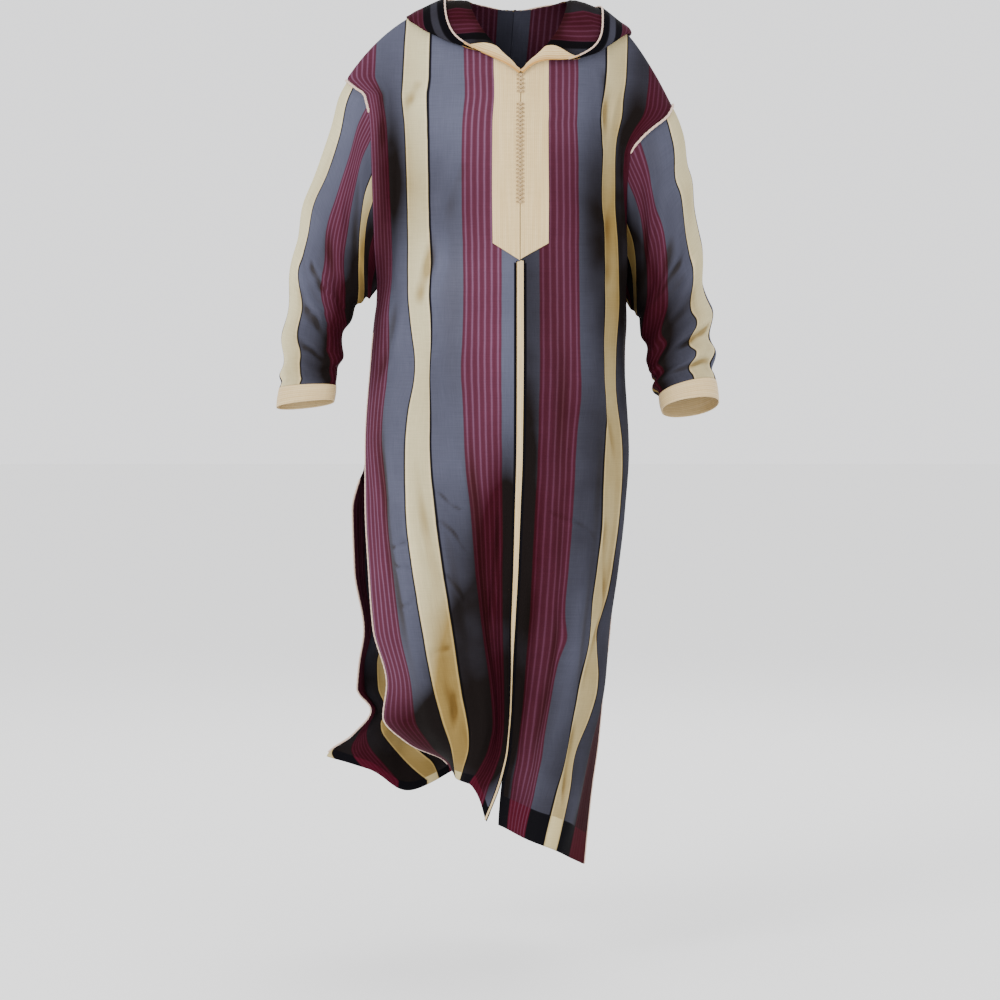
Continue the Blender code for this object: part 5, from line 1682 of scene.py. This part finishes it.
class ROBE_OT_hood(Operator):
    """Make the lowered hood, its facing and its rim cord."""

    bl_idname = "robe.hood"
    bl_label = "Hood"

    def execute(self, context):
        """Two halves that share the centre back seam, lying clear of the body."""
        cloth = context.scene.robe_cloth
        trim = context.scene.robe_trim
        wall = cloth.wall / MM
        BUILT["hood_voile"] = make_voile("striped_hood_voile", hood_stops)
        # the facing's gold edge next to the rim is painted shade, 17 mm wide
        BUILT["facing"] = make_band("cream_facing", "#E6CE9C", "#B07E34", 4.0, 0.017)
        below = [
            (BUILT[name], ARM_ROWS + 8, 2)
            for name in ("front_right", "front_left", "back_right", "back_left")]
        below += [(BUILT["placket_" + side], 60, 3) for side in ("right", "left")]
        body = tuple(
            np.concatenate([item[key][:rows:step, ::3].reshape(-1, 3) for item, rows, step in below])
            for key in ("grid", "normals"))
        made = {side: hood_grid(side, body) for side in ("right", "left")}
        shared = (made["right"][0][-1] + made["left"][0][-1]) / 2
        shared = lift_clear(shared, np.full(len(shared), HOOD_SEAM_GAP), body)
        for side, (grid, from_rim, u) in made.items():
            gap = shared - grid[-1]
            grid = grid + gap[None] * ease((u - HOOD_SEAM_FROM) / (1 - HOOD_SEAM_FROM))[:, None, None]
            normals = surface_normals(grid)
            back = BUILT["back_" + side]["normals"][0, 20]
            if np.dot(normals[-1, 8], back) > 0:
                normals = -normals
            made[side] = (grid, from_rim, u, normals)
        joined = unit(made["right"][3][-1] + made["left"][3][-1])
        for side, (grid, from_rim, u, normals) in made.items():
            normals[-1] = joined
            station = np.linalg.norm(np.diff(grid, axis=0), axis=-1).mean(axis=1)
            run = np.concatenate([[0.0], np.cumsum(station)])[:, None] + np.zeros(grid.shape[:2])
            fine = 0.6 * np.sin(run / 11.0) * np.sin(from_rim / 17.0 + run / 60.0)
            fine = fine * ease(from_rim / 20.0) * ease(u / 0.2)[:, None] * ease((1 - u) / 0.05)[:, None]
            outer = grid + normals * fine[..., None]
            around = ease((u - RIM_CORD_FROM) / 0.1)[:, None]
            tone = 0.02 + 0.2 * ease((74.0 - from_rim) / 24.0) * around
            # painted shade: the fold mark deepens towards the neck edge, so the hood darkens at its
            # neck end
            shade = 2.6 * ease((20.0 - from_rim[:, :1] + from_rim) / 20.0)
            marks = {"fold": fine * 2.0 - shade, "cover": from_rim - RIM_TURN, "tone": tone}
            piece = add_flat_wall(
                "cloth_hood_" + side, outer, normals, np.full(fine.shape, wall),
                BUILT["hood_voile"], from_rim, run, marks)
            finish_piece(piece, "striped_cloth", "hood_" + side)
            self.make_facing(side, outer, normals, from_rim, u, run, wall)
            edge = outer[:, -1]
            radius = trim.cord_radius / MM
            out = unit(edge - outer[:, -3]) * (radius + 0.2)
            path = edge + out - normals[:, -1] * wall / 2
            path = lift_clear(path, np.full(len(path), radius + 0.5), body)
            BUILT["rim_" + side] = path[int(RIM_CORD_FROM * HOOD_STATIONS):]
        return {"FINISHED"}

    def make_facing(self, side, outer, normals, from_rim, u, run, wall):
        """Soft cream facing over the hood's inner side, turned round the rim below the throat."""
        last = int(FACING_REACH * (HOOD_STATIONS - 1)) + 1
        total = from_rim[:last, :1]
        share = 1 - np.clip((u[:last, None] - FACING_FULL) / (FACING_REACH - FACING_FULL), 0, 1)
        reach = 1.5 + (total - 1.5) * share
        down = np.linspace(0.0, 1.0, FACING_COLS)[None, :]
        skin = resample_rows(outer[:last, ::-1], down * reach)
        inward = -normals[:last, -RIM_STEPS:-2].mean(axis=1, keepdims=True)
        inward = unit(soften(inward, 12))
        puff = 2.0 * np.sin(np.pi * down ** 0.7) + 0.5 * np.sin(34 * u[:last, None] + 3 * down)
        upper = skin + inward * (wall + 1.6 + puff * ease(reach / 14.0))[..., None]
        upper = soften(upper, 3)
        rim = outer[:last, -1] + unit(outer[:last, -1] - outer[:last, -3]) * 1.7
        turned = outer[:last, -3] - inward[:, 0] * 1.1
        surface = np.concatenate([turned[:, None], rim[:, None], upper], axis=1)
        surface = profile_curves(surface, 3)
        under = surface_normals(surface)
        if np.sum(under[:, -10:] * inward) < 0:
            under = -under
        across = running(surface, axis=1)
        along = np.broadcast_to(run[:last, -1:], across.shape)
        piece = add_flat_wall(
            "braid_facing_" + side, surface, under, np.full(across.shape, 0.7),
            BUILT["facing"], across, along, {})
        finish_piece(piece, "cream_band", "hood_facing_" + side)


class ROBE_OT_cords(Operator):
    """Make the twisted cords on the rim, armholes and open edges."""

    bl_idname = "robe.cords"
    bl_label = "Edge cords"

    def execute(self, context):
        """Tubes of three twisted strands carried along the edges of the cloth."""
        trim = context.scene.robe_trim
        radius = trim.cord_radius / MM
        pitch = trim.cord_pitch / MM
        wall = context.scene.robe_cloth.wall / MM
        BUILT["cord"] = make_yarn("twisted_cord", "#DCC2B0", "#A67E6C", 3.0)
        for side in ("right", "left"):
            front = BUILT["front_" + side]
            back = BUILT["back_" + side]
            sleeve = BUILT["sleeve_" + side]
            path = BUILT["rim_" + side][::2]
            self.cord("cord_rim_" + side, path, radius, pitch, "hood_piping_" + side)
            ahead = int((front["z"][:, -1] > ARMHOLE_CORD_END[side]).sum())
            up = np.concatenate([back["grid"][30:0:-1, -1], front["grid"][:ahead, -1]])
            lift = np.concatenate([back["normals"][30:0:-1, -1], front["normals"][:ahead, -1]])
            over = np.concatenate([sleeve["normals"][0, :][-30:], sleeve["normals"][0, :ahead]])
            lift = unit(lift + over)
            # the cord sinks into the seam at its foot
            sink = ease((len(up) - np.arange(len(up))) / 9.0)[:, None]
            path = up + lift * (1.35 * radius * (2 * sink - 1) + 0.2)
            self.cord(
                "cord_armhole_" + side, path[::3], 1.35 * radius, pitch, "armhole_piping_" + side)
            for face, item in (("front", front), ("back", back)):
                first = ARM_ROWS + (14 if face == "front" else SEAM_ROWS + 10)
                edge = item["grid"][first:, -1]
                beside = item["grid"][first:, -3]
                out = unit(edge - beside) * (radius + 0.2)
                path = edge + out - item["normals"][first:, -1] * wall / 2
                self.cord(
                    "cord_side_" + face + "_" + side, path[::3], radius, pitch,
                    "side_piping_" + face + "_" + side)
        return {"FINISHED"}

    def cord(self, name, path, radius, pitch, node):
        """One cord that stands for one CAD node."""
        piece = add_cord(name, path, radius, pitch, BUILT["cord"])
        finish_piece(piece, "edge_cord", node)


class ROBE_OT_stage(Operator):
    """Make the floor, the soft lights and the camera."""

    bl_idname = "robe.stage"
    bl_label = "Stage"

    def execute(self, context):
        """Pale floor, three large area lights, and the camera at six metres."""
        stage = context.scene.robe_stage
        size = FLOOR_HALF
        mesh = bpy.data.meshes.new("floor")
        mesh.from_pydata([
            (-size, -size, stage.floor), (size, -size, stage.floor),
            (size, size, stage.floor), (-size, size, stage.floor)], [], [(0, 1, 2, 3)])
        paper = bpy.data.materials.new("matt_paper_floor")
        paper.use_nodes = True
        shader = paper.node_tree.nodes["Principled BSDF"]
        node = partial(add_node, paper.node_tree)
        grain = node("TexNoise", {"Scale": 3.0, "Detail": 2.0})
        tone = node("MapRange", {0: grain, 1: 0.3, 2: 0.7, 3: 0.985, 4: 1.0})
        final = node("VectorMath", {0: tuple(stage.paper), "Scale": tone}, operation="SCALE")
        paper.node_tree.links.new(final.outputs[0], shader.inputs["Base Color"])
        shader.inputs["Roughness"].default_value = 0.9
        mesh.materials.append(paper)
        floor = bpy.data.objects.new("floor", mesh)
        context.scene.collection.objects.link(floor)
        world = bpy.data.worlds.new("soft_room")
        world.use_nodes = True
        room = world.node_tree.nodes["Background"]
        room.inputs[0].default_value = solid("#F4F4F6")
        room.inputs[1].default_value = ROOM_LIGHT
        context.scene.world = world
        lights = (
            ("key_light", (-3.0, -4.0, 1.9), 2.4, stage.key),
            ("fill_light", (3.0, -3.4, 0.6), 3.0, stage.key * 0.2),
            ("back_light", (0.6, 3.6, 2.2), 3.0, stage.key * 0.4),
        )
        for name, place, width, power in lights:
            lamp = bpy.data.lights.new(name, "AREA")
            lamp.shape = "DISK"
            lamp.size = width
            lamp.energy = power
            item = bpy.data.objects.new(name, lamp)
            item.location = place
            aim = Vector(LIGHT_AIM) - Vector(place)
            item.rotation_euler = aim.to_track_quat("-Z", "Y").to_euler()
            context.scene.collection.objects.link(item)
        lens = bpy.data.cameras.new("camera")
        lens.sensor_width = 36.0
        lens.lens = LENS
        camera = bpy.data.objects.new("camera", lens)
        camera.location = CAMERA_PLACE
        camera.rotation_euler = (math.pi / 2 - math.atan(CAMERA_FALL), 0.0, 0.0)
        context.scene.collection.objects.link(camera)
        context.scene.camera = camera
        return {"FINISHED"}


STEPS = ("panels", "sleeves", "cuffs", "placket", "buttons", "hood", "cords", "stage")


class ROBE_PT_sidebar(Panel):
    """Lists the robe's pieces in the sidebar."""

    bl_idname = "ROBE_PT_sidebar"
    bl_label = "Hooded striped robe"
    bl_space_type = "VIEW_3D"
    bl_region_type = "UI"
    bl_category = "Robe"

    def draw(self, context):
        """Sizes first, then one button for each group of pieces."""
        scene = context.scene
        for group, names in (
            (scene.robe_cloth, ("wall", "crease")),
            (scene.robe_trim, ("braid_wall", "cord_radius", "cord_pitch", "button_radius")),
            (scene.robe_stage, ("floor", "key", "paper")),
        ):
            for name in names:
                self.layout.prop(group, name)
        for step in STEPS:
            self.layout.operator("robe." + step)


CLASSES = (
    RobeCloth, RobeTrim, RobeStage, ROBE_OT_panels, ROBE_OT_sleeves, ROBE_OT_cuffs,
    ROBE_OT_placket, ROBE_OT_buttons, ROBE_OT_hood, ROBE_OT_cords, ROBE_OT_stage,
    ROBE_PT_sidebar,
)


def register():
    """Register the classes and hang their sizes on the scene."""
    for item in CLASSES:
        bpy.utils.register_class(item)
    bpy.types.Scene.robe_cloth = PointerProperty(type=RobeCloth)
    bpy.types.Scene.robe_trim = PointerProperty(type=RobeTrim)
    bpy.types.Scene.robe_stage = PointerProperty(type=RobeStage)


def unregister():
    """Take the sizes and classes away again."""
    del bpy.types.Scene.robe_cloth
    del bpy.types.Scene.robe_trim
    del bpy.types.Scene.robe_stage
    for item in reversed(CLASSES):
        bpy.utils.unregister_class(item)


def main():
    """Build every group in order."""
    register()
    for step in STEPS:
        getattr(bpy.ops.robe, step)()
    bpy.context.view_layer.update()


if __name__ == "__main__":
    main()
